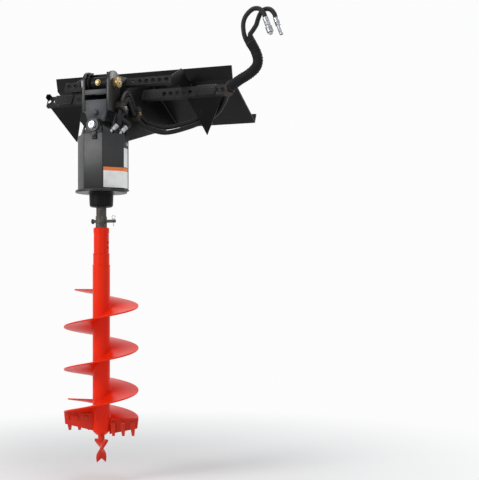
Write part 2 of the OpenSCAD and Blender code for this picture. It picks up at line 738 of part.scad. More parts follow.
shaft_step = -58;
hex_from = -118;
hub_z = -120;
hub_l = 80;
hub_fit = 0.1;
retaining_z = -145;
retaining_r = 8;
retaining_from = -46;
retaining_to = 80;
retaining_head_r = 13;
retaining_head_t = 6;
clip_wire_r = 2;
clip_x = 70;
clip_ring_r = 9;
clip_leg_l = 46;
collar_z = -177.5;
collar_l = 136;
collar_lip = 1.5;
collar_lip_h = 27;
collar_chamfer = 3;
collar_hole_r = 7;
collar_holes = [-253.7, -281];
collar_sleeve_r = 42;
collar_sleeve_l = 57.5;
tube_z = collar_z - collar_l - collar_sleeve_l;
tube_foot = -1222;
tube_cone_h = 18;
tube_cone_r = 26;
flight_top_z = -492.6;
flight_top_turn = 165;

module cross_hole(z, r) translate([0, 0, z]) x_rod(r, 4 * collar_r);

module output_shaft() color("#a7a9ac") in_drive() difference() {
    union() {
        rotate_extrude() polygon([
            [0, hex_from], [seal_lip_r, hex_from], [seal_lip_r, shaft_step], [shaft_r, shaft_step],
            [shaft_r, carrier_z], [carrier_r, carrier_z], [carrier_r, carrier_z + carrier_t],
            [0, carrier_z + carrier_t]
        ]);
        translate([0, 0, hub_z - hub_l + carrier_gap]) hex_bar(hex_af, hub_l + carrier_gap);
    }
    cross_hole(retaining_z, retaining_r + run);
    for (i = [0 : 2]) rotate([0, 0, 120 * i]) translate([gear_reach, 0, case_floor])
        cylinder(r = planet_pin_r + run, h = 2 * carrier_t);
}

module planet_pins() color("#b9bbbe") in_drive() for (i = [0 : 2])
    rotate([0, 0, 120 * i]) translate([gear_reach, 0, carrier_z + seat])
        cylinder(r = planet_pin_r, h = gear_z - carrier_z + gear_face);

module auger_hub() color("#9c9ea0") in_drive() difference() {
    translate([0, 0, hub_z - hub_l]) cylinder(r = hub_r, h = hub_l);
    translate([0, 0, hub_z - hub_l - cut]) hex_bar(hex_af + 2 * hub_fit, hub_l + 2 * cut);
    cross_hole(retaining_z, retaining_r + run);
}

module retaining_pin() color("#8f9194") in_drive() difference() {
    translate([0, 0, retaining_z]) rotate([0, 90, 0]) union() {
        translate([0, 0, retaining_from]) cylinder(r = retaining_r, h = retaining_to - retaining_from);
        translate([0, 0, retaining_from - retaining_head_t])
            cylinder(r = retaining_head_r, h = retaining_head_t);
    }
    translate([clip_x, 0, retaining_z - 2 * retaining_r])
        cylinder(r = clip_wire_r + run, h = 4 * retaining_r);
}

// Ring clip: a straight leg through the retaining pin, and a ring above it
module hairpin_clip() color("#c4c6c9") in_drive() translate([clip_x, 0, retaining_z]) {
    translate([0, 0, -clip_leg_l / 2 - clip_ring_r / 3])
        cylinder(r = clip_wire_r, h = clip_leg_l / 2 + 2 * clip_ring_r);
    translate([0, 0, retaining_r + clip_wire_r + clip_ring_r + seat]) rotate([90, 0, 0])
        rotate_extrude() translate([clip_ring_r, 0]) circle(r = clip_wire_r, $fn = 24);
}

module auger_collar() color("#e5401c") in_drive() difference() {
    lip = collar_r + collar_lip;
    rotate_extrude() polygon([
        [0, collar_z - collar_l], [collar_r, collar_z - collar_l], [collar_r, collar_z - collar_lip_h],
        [lip, collar_z - collar_lip_h], [lip, collar_z - collar_chamfer],
        [lip - 2 * collar_chamfer, collar_z], [0, collar_z]
    ]);
    translate([0, 0, hub_z - hub_l]) cylinder(r = hub_r + run, h = hub_l);
    for (z = collar_holes) cross_hole(z, collar_hole_r);
}

module auger_tube() color("#e5401c") in_drive() rotate_extrude() polygon([
    [0, tube_foot - tube_cone_h], [tube_cone_r, tube_foot - tube_cone_h], [tube_r, tube_foot],
    [tube_r, tube_z], [collar_sleeve_r, tube_z], [collar_sleeve_r, tube_z + collar_sleeve_l - seat],
    [0, tube_z + collar_sleeve_l - seat]
]);

// A strip of flighting with its top face starting at height z and angle turn, going down for some turns
steps_per_turn = 30;
module flighting(z, turn, turns) {
    n = round(turns * steps_per_turn);
    inner = tube_r / cos(180 / steps_per_turn) + seat;
    function corner(i, r, drop) = let(a = turn - 360 * turns * i / n)
        [r * cos(a), r * sin(a), z - drop - flight_pitch * turns * i / n];
    points = [for (i = [0 : n]) each [
        corner(i, inner, 0), corner(i, flight_r, 0), corner(i, flight_r, flight_t), corner(i, inner, flight_t)
    ]];
    sides = [for (i = [0 : n - 1], k = [0 : 3]) let(
        a = 4 * i + k, b = 4 * i + (k + 1) % 4, c = a + 4, d = b + 4
    ) each [[a, b, d], [a, d, c]]];
    polyhedron(points, concat([[3, 2, 1, 0]], sides, [[4 * n, 4 * n + 1, 4 * n + 2, 4 * n + 3]]));
}

main_foot_z = flight_top_z - flight_pitch * flight_turns - flight_t;
main_foot_turn = flight_top_turn - 360 * flight_turns;
lead_turns = 0.45;
lead_drop = 36;
lead_foot_z = main_foot_z - lead_drop;
lead_foot_turn = main_foot_turn + 180;

module main_flight() color("#e5401c") in_drive() flighting(flight_top_z, flight_top_turn, flight_turns);
module lead_flight() color("#e5401c") in_drive()
    flighting(lead_foot_z + flight_t + flight_pitch * lead_turns, lead_foot_turn + 360 * lead_turns,
        lead_turns);

// Cutting blades below the ends of the two flights, with wedge teeth on their leading faces
blade_reach_share = 0.97;
blade_outer_share = 0.9;
blade_inner_share = 1.45;
tooth_sites = [62, 112, 162];
tooth_w = 26;
tooth_t = 12;
tooth_drop = 92;
tooth_rise = 48;
tooth_lean = 26;
tooth_foot_share = 1.4;

module at_blade(z, turn) rotate([0, 0, turn]) translate([0, 0, z - seat]) children();
module blade(h) translate([0, blade_t / 2, 0]) rotate([90, 0, 0]) linear_extrude(blade_t) polygon([
    [tube_r + seat, 0], [flight_r, 0], [flight_r * blade_reach_share, -h * blade_outer_share],
    [tube_r + seat, -h * blade_inner_share]
]);
// A wedge tooth flat on the blade's leading face, with its point below the blade and ahead of it
module tooth(r) translate([r - tooth_w / 2, -blade_t / 2 - seat, 0]) rotate([90, 0, 90])
    linear_extrude(tooth_w) polygon([[0, -tooth_rise / 2], [0, -tooth_rise * tooth_foot_share],
        [-tooth_lean, -tooth_drop], [-tooth_t, -tooth_rise / 2]]);

module cutting_blades() color("#c8321a") in_drive() {
    at_blade(main_foot_z, main_foot_turn) blade(blade_h);
    at_blade(lead_foot_z, lead_foot_turn) blade(blade_h - lead_drop / 3);
}
module blade_teeth() color("#b52c16") in_drive() {
    for (r = tooth_sites) {
        at_blade(main_foot_z, main_foot_turn) tooth(r);
        at_blade(lead_foot_z + lead_drop / 3, lead_foot_turn) tooth(r);
    }
}

// Pilot bit: a stem below the tube's cone, and a twisted fishtail with a notched point
pilot_stem_r = 17;
pilot_stem_l = 26;
pilot_w = 76;
pilot_t = 15;
pilot_twist = -160;
pilot_foot_share = 0.62;
pilot_notch = 20;
pilot_steps = 12;
module pilot_bit() color("#c8321a") in_drive() {
    stem_z = tube_foot - tube_cone_h - seat;
    blade_z = stem_z - pilot_stem_l;
    body_l = pilot_l - pilot_stem_l - tube_cone_h;
    half_w = pilot_w / 2;
    half_t = pilot_t / 2;
    outline = [[-half_w, -half_t], [0, -half_t], [half_w, -half_t], [half_w, half_t], [0, half_t],
        [-half_w, half_t]];
    sides = len(outline);
    points = [for (i = [0 : pilot_steps], p = outline) let(
        along = i / pilot_steps, a = pilot_twist * along, size = 1 - (1 - pilot_foot_share) * along,
        rise = i == pilot_steps && p[0] == 0 ? pilot_notch : 0
    ) [size * (p[0] * cos(a) - p[1] * sin(a)), size * (p[0] * sin(a) + p[1] * cos(a)),
        blade_z - body_l * along + rise]];
    walls = [for (i = [0 : pilot_steps - 1], k = [0 : sides - 1]) let(
        a = i * sides + k, b = i * sides + (k + 1) % sides, c = a + sides, d = b + sides
    ) each [[a, b, d], [a, d, c]]];
    foot = sides * pilot_steps;
    polyhedron(points, concat([[for (k = [sides - 1 : -1 : 0]) k]], walls,
        [[foot, foot + 1, foot + 4, foot + 5], [foot + 1, foot + 2, foot + 3, foot + 4]]));
    translate([0, 0, blade_z - pilot_t / 2]) cylinder(r = pilot_stem_r, h = pilot_stem_l + pilot_t / 2);
}

// Hoses. Routes are lists of points in the whole part's frame, from the boom clamp to the couplers.

hose_sides = 10;
sleeve_sides = 12;
pressure_run = [[80, -385, -122], [105, -330, -155], [180, -275, -175], [280, -225, -150], [380, -188, -108],
    [455, -190, -68], [520, -240, -18]];
return_run = [[80, -395, -152], [105, -342, -185], [180, -284, -205], [280, -236, -180], [380, -197, -138],
    [455, -198, -98], [520, -252, -46]];
sleeve_run = [[602, -336, 21], [640, -341, 42], [680, -323, 70], [712, -306, 105], [722, -300, 145],
    [710, -300, 190], [688, -300, 230], [668, -300, 265]];
pressure_loop = [[654, -302, 261.6], [645, -308, 300], [646, -314, 345], [664, -317, 382], [700, -318, 410],
    [736, -318, 408], [760, -318, 382], [768, -318, 360]];
return_loop = [[680, -298, 276.2], [677.5, -297, 285], [694, -294, 308], [710, -290, 335],
    [718, -286, 365], [732, -284, 395], [757, -284, 413], [785, -284, 409], [806, -284, 386],
    [815, -284, 362]];

// A place on a clamp's hose line: which hose, and how far along
function clamp_line(side, along) = [0, side * hose_gap, along];
function turn_x(a, p) = [p[0], p[1] * cos(a) - p[2] * sin(a), p[1] * sin(a) + p[2] * cos(a)];
function turn_y(a, p) = [p[0] * cos(a) + p[2] * sin(a), p[1], p[2] * cos(a) - p[0] * sin(a)];
function on_boom_clamp(side, along) = boom_clamp_at + turn_x(boom_clamp_lean, clamp_line(side, along));
function on_yoke_clamp(side, along) = [0, pin_y, pin_z] + yoke_clamp_at
    + turn_x(yoke_clamp_lean, clamp_line(side, along));
function on_end_clamp(side, along) = turn_x(frame_roll,
    [end_clamp_x, -end_clamp_ahead, lower_tread_up] + turn_y(end_clamp_lean, clamp_line(side, along)));
function on_fitting(i, along) = [0, pin_y, flange_z] + fitting_end(i, along);

function unit(v) = v / norm(v);
function heading(p, i) = unit(p[min(i + 1, len(p) - 1)] - p[max(i - 1, 0)]);
function carried(p, i) = i == 0 ? unit(cross(heading(p, 0), [1, 1, 0])) :
    let(t = heading(p, i), s = carried(p, i - 1)) unit(s - (s * t) * t);

// A round hose of radius r swept through the points of a route
module hose(route, r, sides = hose_sides) {
    n = len(route);
    rings = [for (i = [0 : n - 1]) let(t = heading(route, i), s = carried(route, i), w = cross(t, s))
        for (k = [0 : sides - 1]) route[i] + r * (cos(360 * k / sides) * s + sin(360 * k / sides) * w)];
    walls = [for (i = [0 : n - 2], k = [0 : sides - 1]) let(
        a = i * sides + k, b = i * sides + (k + 1) % sides, c = a + sides, d = b + sides
    ) each [[a, c, d], [a, d, b]]];
    polyhedron(rings, concat([[for (k = [0 : sides - 1]) k]], walls,
        [[for (k = [sides - 1 : -1 : 0]) (n - 1) * sides + k]]));
}

module lower_whips() color("#17181a") {
    for (i = [0, 1]) let(side = 2 * i - 1)
        hose([on_fitting(i, seat), on_fitting(i, hose_r), on_yoke_clamp(side, -3 * clamp_l / 2),
            on_yoke_clamp(side, -clamp_l / 2), on_yoke_clamp(side, -seat)], hose_r);
}

// Arches of the two upper whips, the outer one first
whip_arches = [[[94, -600, -52], [87, -540, -32], [81, -490, -58]],
    [[94, -585, -76], [87, -545, -62], [81, -508, -84]]];
module upper_whips() color("#17181a") {
    for (i = [0, 1]) let(side = 2 * i - 1)
        hose(concat([on_yoke_clamp(side, seat), on_yoke_clamp(side, clamp_l / 2),
            on_yoke_clamp(side, clamp_l)], whip_arches[i], [on_boom_clamp(side, -clamp_l),
            on_boom_clamp(side, -clamp_l / 2), on_boom_clamp(side, -seat)]), hose_r);
}

module pressure_hose() color("#17181a") {
    hose(concat([on_boom_clamp(-1, seat), on_boom_clamp(-1, clamp_l / 2)], pressure_run,
        [on_end_clamp(1, -clamp_l / 2), on_end_clamp(1, clamp_l / 2)]), hose_r);
    hose(pressure_loop, hose_r);
}
module return_hose() color("#17181a") {
    hose(concat([on_boom_clamp(1, seat), on_boom_clamp(1, clamp_l / 2)], return_run,
        [on_end_clamp(-1, -clamp_l / 2), on_end_clamp(-1, clamp_l / 2)]), hose_r);
    hose(return_loop, hose_r);
}
module hose_sleeve() color("#101113")
    hose(concat([on_end_clamp(0, clamp_l / 2 + seat), on_end_clamp(0, clamp_l)], sleeve_run), sleeve_r,
        sleeve_sides);

// Couplers at the hoses' far ends: a ferrule, a hexagon, a barrel and, on the pressure hose, a locking sleeve
coupler_lean = 160;
ferrule_l = 26;
coupler_hex_l = 18;
barrel_groove = 3;
collar_travel = 7;
locking_l = 34;
locking_wall = 4;
ferrule_lip = 1;
module at_coupler(route) translate(route[len(route) - 1]) rotate([0, coupler_lean, 0])
    translate([0, 0, seat]) children();

module coupler_bodies() color("#c9ccd0") for (route = [pressure_loop, return_loop]) at_coupler(route) {
    cylinder(r = coupler_r + ferrule_lip, h = ferrule_l);
    translate([0, 0, ferrule_l]) hex_bar(2 * coupler_r, coupler_hex_l);
    translate([0, 0, ferrule_l]) cylinder(r = coupler_r - barrel_groove, h = coupler_l - ferrule_l);
}
module coupler_sleeve() color("#b9bcc1") at_coupler(pressure_loop)
    ring(coupler_r + locking_wall, coupler_r - barrel_groove + run,
        ferrule_l + coupler_hex_l + collar_travel + seat, locking_l);

hitch_plate();
boom_side_left();
boom_side_right();
boom_covers();
pivot_tube();
pivot_bushings();
lower_tread_left();
lower_tread_right();
tread_blocks();
upper_tread_left();
upper_tread_right();
step_posts();
wing_left();
wing_right();
frame_clamps();
frame_bolts();
yoke_side_left();
yoke_side_right();
yoke_plates();
yoke_boss();
tilt_bushings();
yoke_fasteners();
swing_pin();
yoke_clamp();
drive_housing();
top_cover();
tilt_pin();
keeper_plate();
output_flange();
bearing_housing();
shaft_bearings();
shaft_seal();
ring_gear();
gear_cover();
hydraulic_motor();
drive_fittings();
drive_plugs();
sun_shaft();
planet_gear_1();
planet_gear_2();
planet_gear_3();
output_shaft();
planet_pins();
auger_hub();
retaining_pin();
hairpin_clip();
auger_collar();
auger_tube();
main_flight();
lead_flight();
cutting_blades();
blade_teeth();
pilot_bit();
lower_whips();
upper_whips();
pressure_hose();
return_hose();
hose_sleeve();
coupler_bodies();
coupler_sleeve();
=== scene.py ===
"""Dresses the earth auger attachment and sets the studio for its picture.

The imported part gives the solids. Every solid gets a finish here, and the pieces that a plain solid
only stands for are modelled: hoses, flighting, housing, welds, bolts, plates and couplers.
Lengths are in metres, in the part's own frame: X sideways, -Y ahead of the loader, +Z up.
"""
import logging
import math
import random
from dataclasses import dataclass, field
from enum import Enum
from typing import ClassVar, Iterable, Sequence

import bpy
from mathutils import Matrix, Vector


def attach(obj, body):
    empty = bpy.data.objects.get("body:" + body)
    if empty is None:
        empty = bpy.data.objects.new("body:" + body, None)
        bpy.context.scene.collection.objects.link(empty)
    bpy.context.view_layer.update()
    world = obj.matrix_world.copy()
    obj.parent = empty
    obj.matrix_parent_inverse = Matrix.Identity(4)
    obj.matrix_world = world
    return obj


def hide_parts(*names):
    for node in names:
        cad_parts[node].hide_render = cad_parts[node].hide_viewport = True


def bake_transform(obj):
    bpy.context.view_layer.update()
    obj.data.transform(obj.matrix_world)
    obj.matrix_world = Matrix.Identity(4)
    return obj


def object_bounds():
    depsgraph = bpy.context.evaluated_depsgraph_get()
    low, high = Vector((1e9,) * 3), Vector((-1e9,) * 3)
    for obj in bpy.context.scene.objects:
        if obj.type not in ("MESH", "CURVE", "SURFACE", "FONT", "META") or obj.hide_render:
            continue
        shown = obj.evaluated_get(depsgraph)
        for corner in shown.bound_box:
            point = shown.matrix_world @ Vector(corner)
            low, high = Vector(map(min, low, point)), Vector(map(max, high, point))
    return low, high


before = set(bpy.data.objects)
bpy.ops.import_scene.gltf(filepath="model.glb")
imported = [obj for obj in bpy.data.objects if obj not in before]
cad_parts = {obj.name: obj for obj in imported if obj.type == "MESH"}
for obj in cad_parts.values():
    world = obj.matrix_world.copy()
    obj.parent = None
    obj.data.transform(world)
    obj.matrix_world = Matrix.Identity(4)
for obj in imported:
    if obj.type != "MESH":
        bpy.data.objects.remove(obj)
SOLID_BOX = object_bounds()

LOG = logging.getLogger("auger")
Piece = bpy.types.Object
Node = bpy.types.Node
Socket = bpy.types.NodeSocket
Colour = tuple[float, float, float]
Pair = tuple[float, float]
UP = Vector((0.0, 0.0, 1.0))
OUT = Vector((1.0, 0.0, 0.0))
AHEAD = Vector((0.0, -1.0, 0.0))
SIDES = (-1, 1)
SEAT = 0.0003


class Body(Enum):
    """The bodies that pieces ride on."""

    FRAME = "frame"
    YOKE = "yoke"
    DRIVE = "drive"
    AUGER = "auger"
    COLLAR = "coupler_collar"


@dataclass(frozen=True)
class Datum:
    """Where the assembly's axes lie.

    Attributes:
        roll: Forward roll of the mounting frame, in radians.
        pin_up: Height of the swing pin along the hitch plate.
        pin_ahead: Distance of the swing pin ahead of the hitch plate.
        pin_to_pin: Drop from the swing pin to the tilt pin.
        pin_to_flange: Drop from the tilt pin to the flange's underside.
    """

    roll: float = math.radians(64.4)
    pin_up: float = 0.610
    pin_ahead: float = 0.294
    pin_to_pin: float = 0.225
    pin_to_flange: float = 0.3375

    @property
    def turn(self) -> Matrix:
        """The roll as a matrix."""
        return Matrix.Rotation(self.roll, 4, "X")

    def rolled(self, x: float, behind: float, up: float) -> Vector:
        """Return the place of a point that is given on the upright frame."""
        return self.turn @ Vector((x, behind, up))

    @property
    def swing(self) -> Vector:
        """Centre of the swing pin."""
        return self.rolled(0.0, -self.pin_ahead, self.pin_up)

    @property
    def tilt(self) -> Vector:
        """Point of the tilt pin's axis above the output axis."""
        return self.swing - UP * self.pin_to_pin

    @property
    def flange(self) -> Vector:
        """Output axis at the flange's underside."""
        return self.tilt - UP * self.pin_to_flange


DATUM = Datum()


class Graph:
    """The shader nodes of a material or of a world."""

    def __init__(self, owner: bpy.types.Material | bpy.types.World) -> None:
        """Switch on the owner's nodes."""
        owner.use_nodes = True
        self.nodes, self.links = owner.node_tree.nodes, owner.node_tree.links

    def feed(self, node: Node, inputs: dict[str | int, Socket | float | Sequence[float]]) -> Node:
        """Give a node its inputs.

        Args:
            node: The node.
            inputs: By name or number, an output to link to each input, or the value to set it to.

        Returns:
            The node.
        """
        for name, value in inputs.items():
            if isinstance(value, Socket):
                self.links.new(value, node.inputs[name])
            else:
                node.inputs[name].default_value = value
        return node

    def add(self, kind: str, inputs: dict[str | int, Socket | float | Sequence[float]],
            **settings: str) -> Node:
        """Add a node.

        Args:
            kind: The node's type, without the words that all shader nodes start with.
            inputs: Its inputs, as feed takes them.
            settings: Its own settings.

        Returns:
            The node.
        """
        node = self.nodes.new(f"ShaderNode{kind}")
        for name, value in settings.items():
            setattr(node, name, value)
        return self.feed(node, inputs)


@dataclass(frozen=True)
class Finish:
    """A surface, drawn with nodes only.

    Attributes:
        name: Name of the material.
        colour: Main colour, linear.
        rough: Roughness of a clean patch.
        metal: Metallic share.
        patch: Colour that the patches go to.
        amount: How strongly the patches show.
        scale: Size of the patches, in waves per metre.
        grain: Strength of the fine bump.
        grain_scale: Size of the fine bump, in waves per metre.
        stretch: Stretch of the patches along Z, below one for streaks.
        rubbed: Colour of rubbed edges and high spots.
        rubbing: Share of the surface that is rubbed.
        sheen: Strength of the surface's own mirror reflection.
        fade: Share that each finer layer of a noise keeps.
        patch_edge: Noise values between which a patch comes in.
        rub_start: Noise value above which nothing is rubbed without rubbing.
        rub_gain: How far full rubbing lowers that value.
        rub_edge: Width of a rubbed spot's edge, in noise values.
        gloss: Least and greatest roughness, as shares of rough.
        bump: Height of the fine bump.
    """

    name: str
    colour: Colour
    rough: float
    metal: float = 0.0
    patch: Colour = (0.10, 0.09, 0.075)
    amount: float = 0.25
    scale: float = 9.0
    grain: float = 0.08
    grain_scale: float = 420.0
    stretch: float = 1.0
    rubbed: Colour = (0.35, 0.34, 0.33)
    rubbing: float = 0.0
    sheen: float = 0.5
    fade: ClassVar[float] = 0.62
    patch_edge: ClassVar[Pair] = (0.42, 0.72)
    rub_start: ClassVar[float] = 0.74
    rub_gain: ClassVar[float] = 0.2
    rub_edge: ClassVar[float] = 0.03
    gloss: ClassVar[Pair] = (0.85, 1.25)
    bump: ClassVar[float] = 0.001

    def build(self) -> bpy.types.Material:
        """Return the material, made on first use."""
        title = f"{self.name}_finish"
        made = bpy.data.materials.get(title)
        if made:
            return made
        made = bpy.data.materials.new(title)
        made.diffuse_color = (*self.colour, 1.0)
        graph = Graph(made)
        place = graph.add("TexCoord", {}).outputs["Object"]
        spread = graph.add("Mapping", {"Vector": place, "Scale": (1.0, 1.0, self.stretch)})
        colour = self._patched(graph, spread.outputs["Vector"])
        if self.rubbing > 0.0:
            colour = self._rubbed(graph, place, colour)
        least, most = self.gloss
        gloss = graph.add("MapRange", {
            "Value": self._noise(graph, place, 3.0 * self.scale, detail=4.0),
            "To Min": self.rough * least, "To Max": min(1.0, self.rough * most)})
        bump = graph.add("Bump", {
            "Height": self._noise(graph, place, self.grain_scale, detail=3.0),
            "Strength": self.grain, "Distance": self.bump})
        graph.feed(graph.nodes["Principled BSDF"], {
            "Metallic": self.metal, "Specular IOR Level": self.sheen, "Base Color": colour,
            "Roughness": gloss.outputs["Result"], "Normal": bump.outputs["Normal"]})
        return made

    def _noise(self, graph: Graph, vector: Socket, scale: float, detail: float) -> Socket:
        """Return the value of a noise of that scale."""
        inputs = {"Vector": vector, "Scale": scale, "Detail": detail, "Roughness": self.fade}
        return graph.add("TexNoise", inputs).outputs["Fac"]

    @staticmethod
    def _mixed(graph: Graph, share: Socket, edge: Pair, base: Socket | Sequence[float],
               over: Colour) -> Socket:
        """Return a base colour that goes over into another, where share passes an edge."""
        low, high = edge
        ramp = graph.add("MapRange", {"Value": share, "From Min": low, "From Max": high})
        inputs = {"Factor": ramp.outputs["Result"], "A": base, "B": (*over, 1.0)}
        return graph.add("Mix", inputs, data_type="RGBA").outputs["Result"]

    def _patched(self, graph: Graph, vector: Socket) -> Socket:
        """Return the main colour with its dusty or darker patches."""
        tone = tuple(c + (p - c) * self.amount for c, p in zip(self.colour, self.patch))
        share = self._noise(graph, vector, self.scale, detail=6.0)
        return self._mixed(graph, share, self.patch_edge, (*self.colour, 1.0), tone)

    def _rubbed(self, graph: Graph, vector: Socket, base: Socket) -> Socket:
        """Return the colour with small rubbed spots over it."""
        high = self.rub_start - self.rub_gain * self.rubbing
        share = self._noise(graph, vector, 6.0 * self.scale, detail=9.0)
        return self._mixed(graph, share, (high - self.rub_edge, high), base, self.rubbed)


FRAME_BLACK = Finish("frame_black", (0.0060, 0.0060, 0.0068), 0.40, patch=(0.045, 0.040, 0.035),
                     amount=0.14, rubbed=(0.030, 0.028, 0.027), rubbing=0.25, sheen=0.09)
TREAD_GREY = Finish("tread_grey", (0.0115, 0.0117, 0.0135), 0.42, patch=(0.07, 0.064, 0.055),
                    amount=0.22, rubbed=(0.11, 0.108, 0.105), rubbing=0.3, sheen=0.15)
DRIVE_BLACK = Finish("drive_black", (0.0125, 0.0128, 0.0145), 0.34, patch=(0.06, 0.055, 0.05),
                     amount=0.12, rubbed=(0.05, 0.048, 0.046), rubbing=0.1, sheen=0.3)
YOKE_GREY = Finish("yoke_grey", (0.040, 0.043, 0.049), 0.40, patch=(0.12, 0.112, 0.10),
                   amount=0.28, rubbed=(0.22, 0.215, 0.21), rubbing=0.25, sheen=0.22)
WELD_BLACK = Finish("weld_black", (0.014, 0.014, 0.017), 0.34, amount=0.1, scale=30.0, grain=0.2,
                    sheen=0.25)
AUGER_RED = Finish("auger_red", (0.82, 0.020, 0.001), 0.30, patch=(0.80, 0.038, 0.004), amount=0.4,
                   scale=5.0, grain=0.04, rubbed=(0.42, 0.055, 0.025), rubbing=0.15, sheen=0.16)
BLADE_RED = Finish("blade_red", (0.66, 0.022, 0.003), 0.36, patch=(0.36, 0.04, 0.018), amount=0.45,
                   scale=12.0, rubbed=(0.34, 0.20, 0.16), rubbing=0.3, sheen=0.25)
TOOTH_STEEL = Finish("tooth_steel", (0.62, 0.024, 0.004), 0.38, metal=0.1, patch=(0.40, 0.07, 0.04),
                     amount=0.45, scale=14.0, rubbed=(0.46, 0.42, 0.39), rubbing=0.4, sheen=0.3)
SHAFT_STEEL = Finish("shaft_steel", (0.052, 0.047, 0.042), 0.48, metal=0.4, patch=(0.13, 0.11, 0.09),
                     amount=0.6, scale=18.0, stretch=3.0, rubbed=(0.30, 0.29, 0.28), rubbing=0.4,
                     sheen=0.3)
BARE_STEEL = Finish("bare_steel", (0.40, 0.395, 0.39), 0.34, metal=0.9, patch=(0.26, 0.235, 0.21),
                    amount=0.5, scale=20.0, stretch=4.0)
ZINC = Finish("zinc", (0.40, 0.41, 0.43), 0.32, metal=0.92, patch=(0.26, 0.26, 0.28), amount=0.5,
              scale=26.0)
YELLOW_ZINC = Finish("yellow_zinc", (0.38, 0.275, 0.115), 0.36, metal=0.85, patch=(0.28, 0.235, 0.165),
                     amount=0.5, scale=24.0)
BRONZE = Finish("bronze", (0.42, 0.27, 0.10), 0.35, metal=0.9, amount=0.3, scale=24.0)
RUBBER = Finish("hose_rubber", (0.010, 0.010, 0.011), 0.48, patch=(0.035, 0.032, 0.029), amount=0.3,
                scale=16.0, grain=0.25, grain_scale=700.0, sheen=0.22)
SLEEVE_CLOTH = Finish("sleeve_cloth", (0.009, 0.009, 0.011), 0.74, patch=(0.030, 0.028, 0.025),
                      amount=0.4, scale=18.0, grain=0.7, grain_scale=900.0, sheen=0.15)
CLAMP_BROWN = Finish("clamp_brown", (0.026, 0.018, 0.014), 0.5, patch=(0.07, 0.055, 0.04), amount=0.4,
                     scale=20.0, sheen=0.4)
LABEL_WHITE = Finish("plate_white", (0.92, 0.92, 0.90), 0.4, patch=(0.52, 0.50, 0.46), amount=0.35,
                     scale=22.0, grain=0.02)
LABEL_ORANGE = Finish("plate_orange", (0.84, 0.20, 0.02), 0.4, patch=(0.60, 0.20, 0.06), amount=0.3,
                      scale=22.0, grain=0.02)


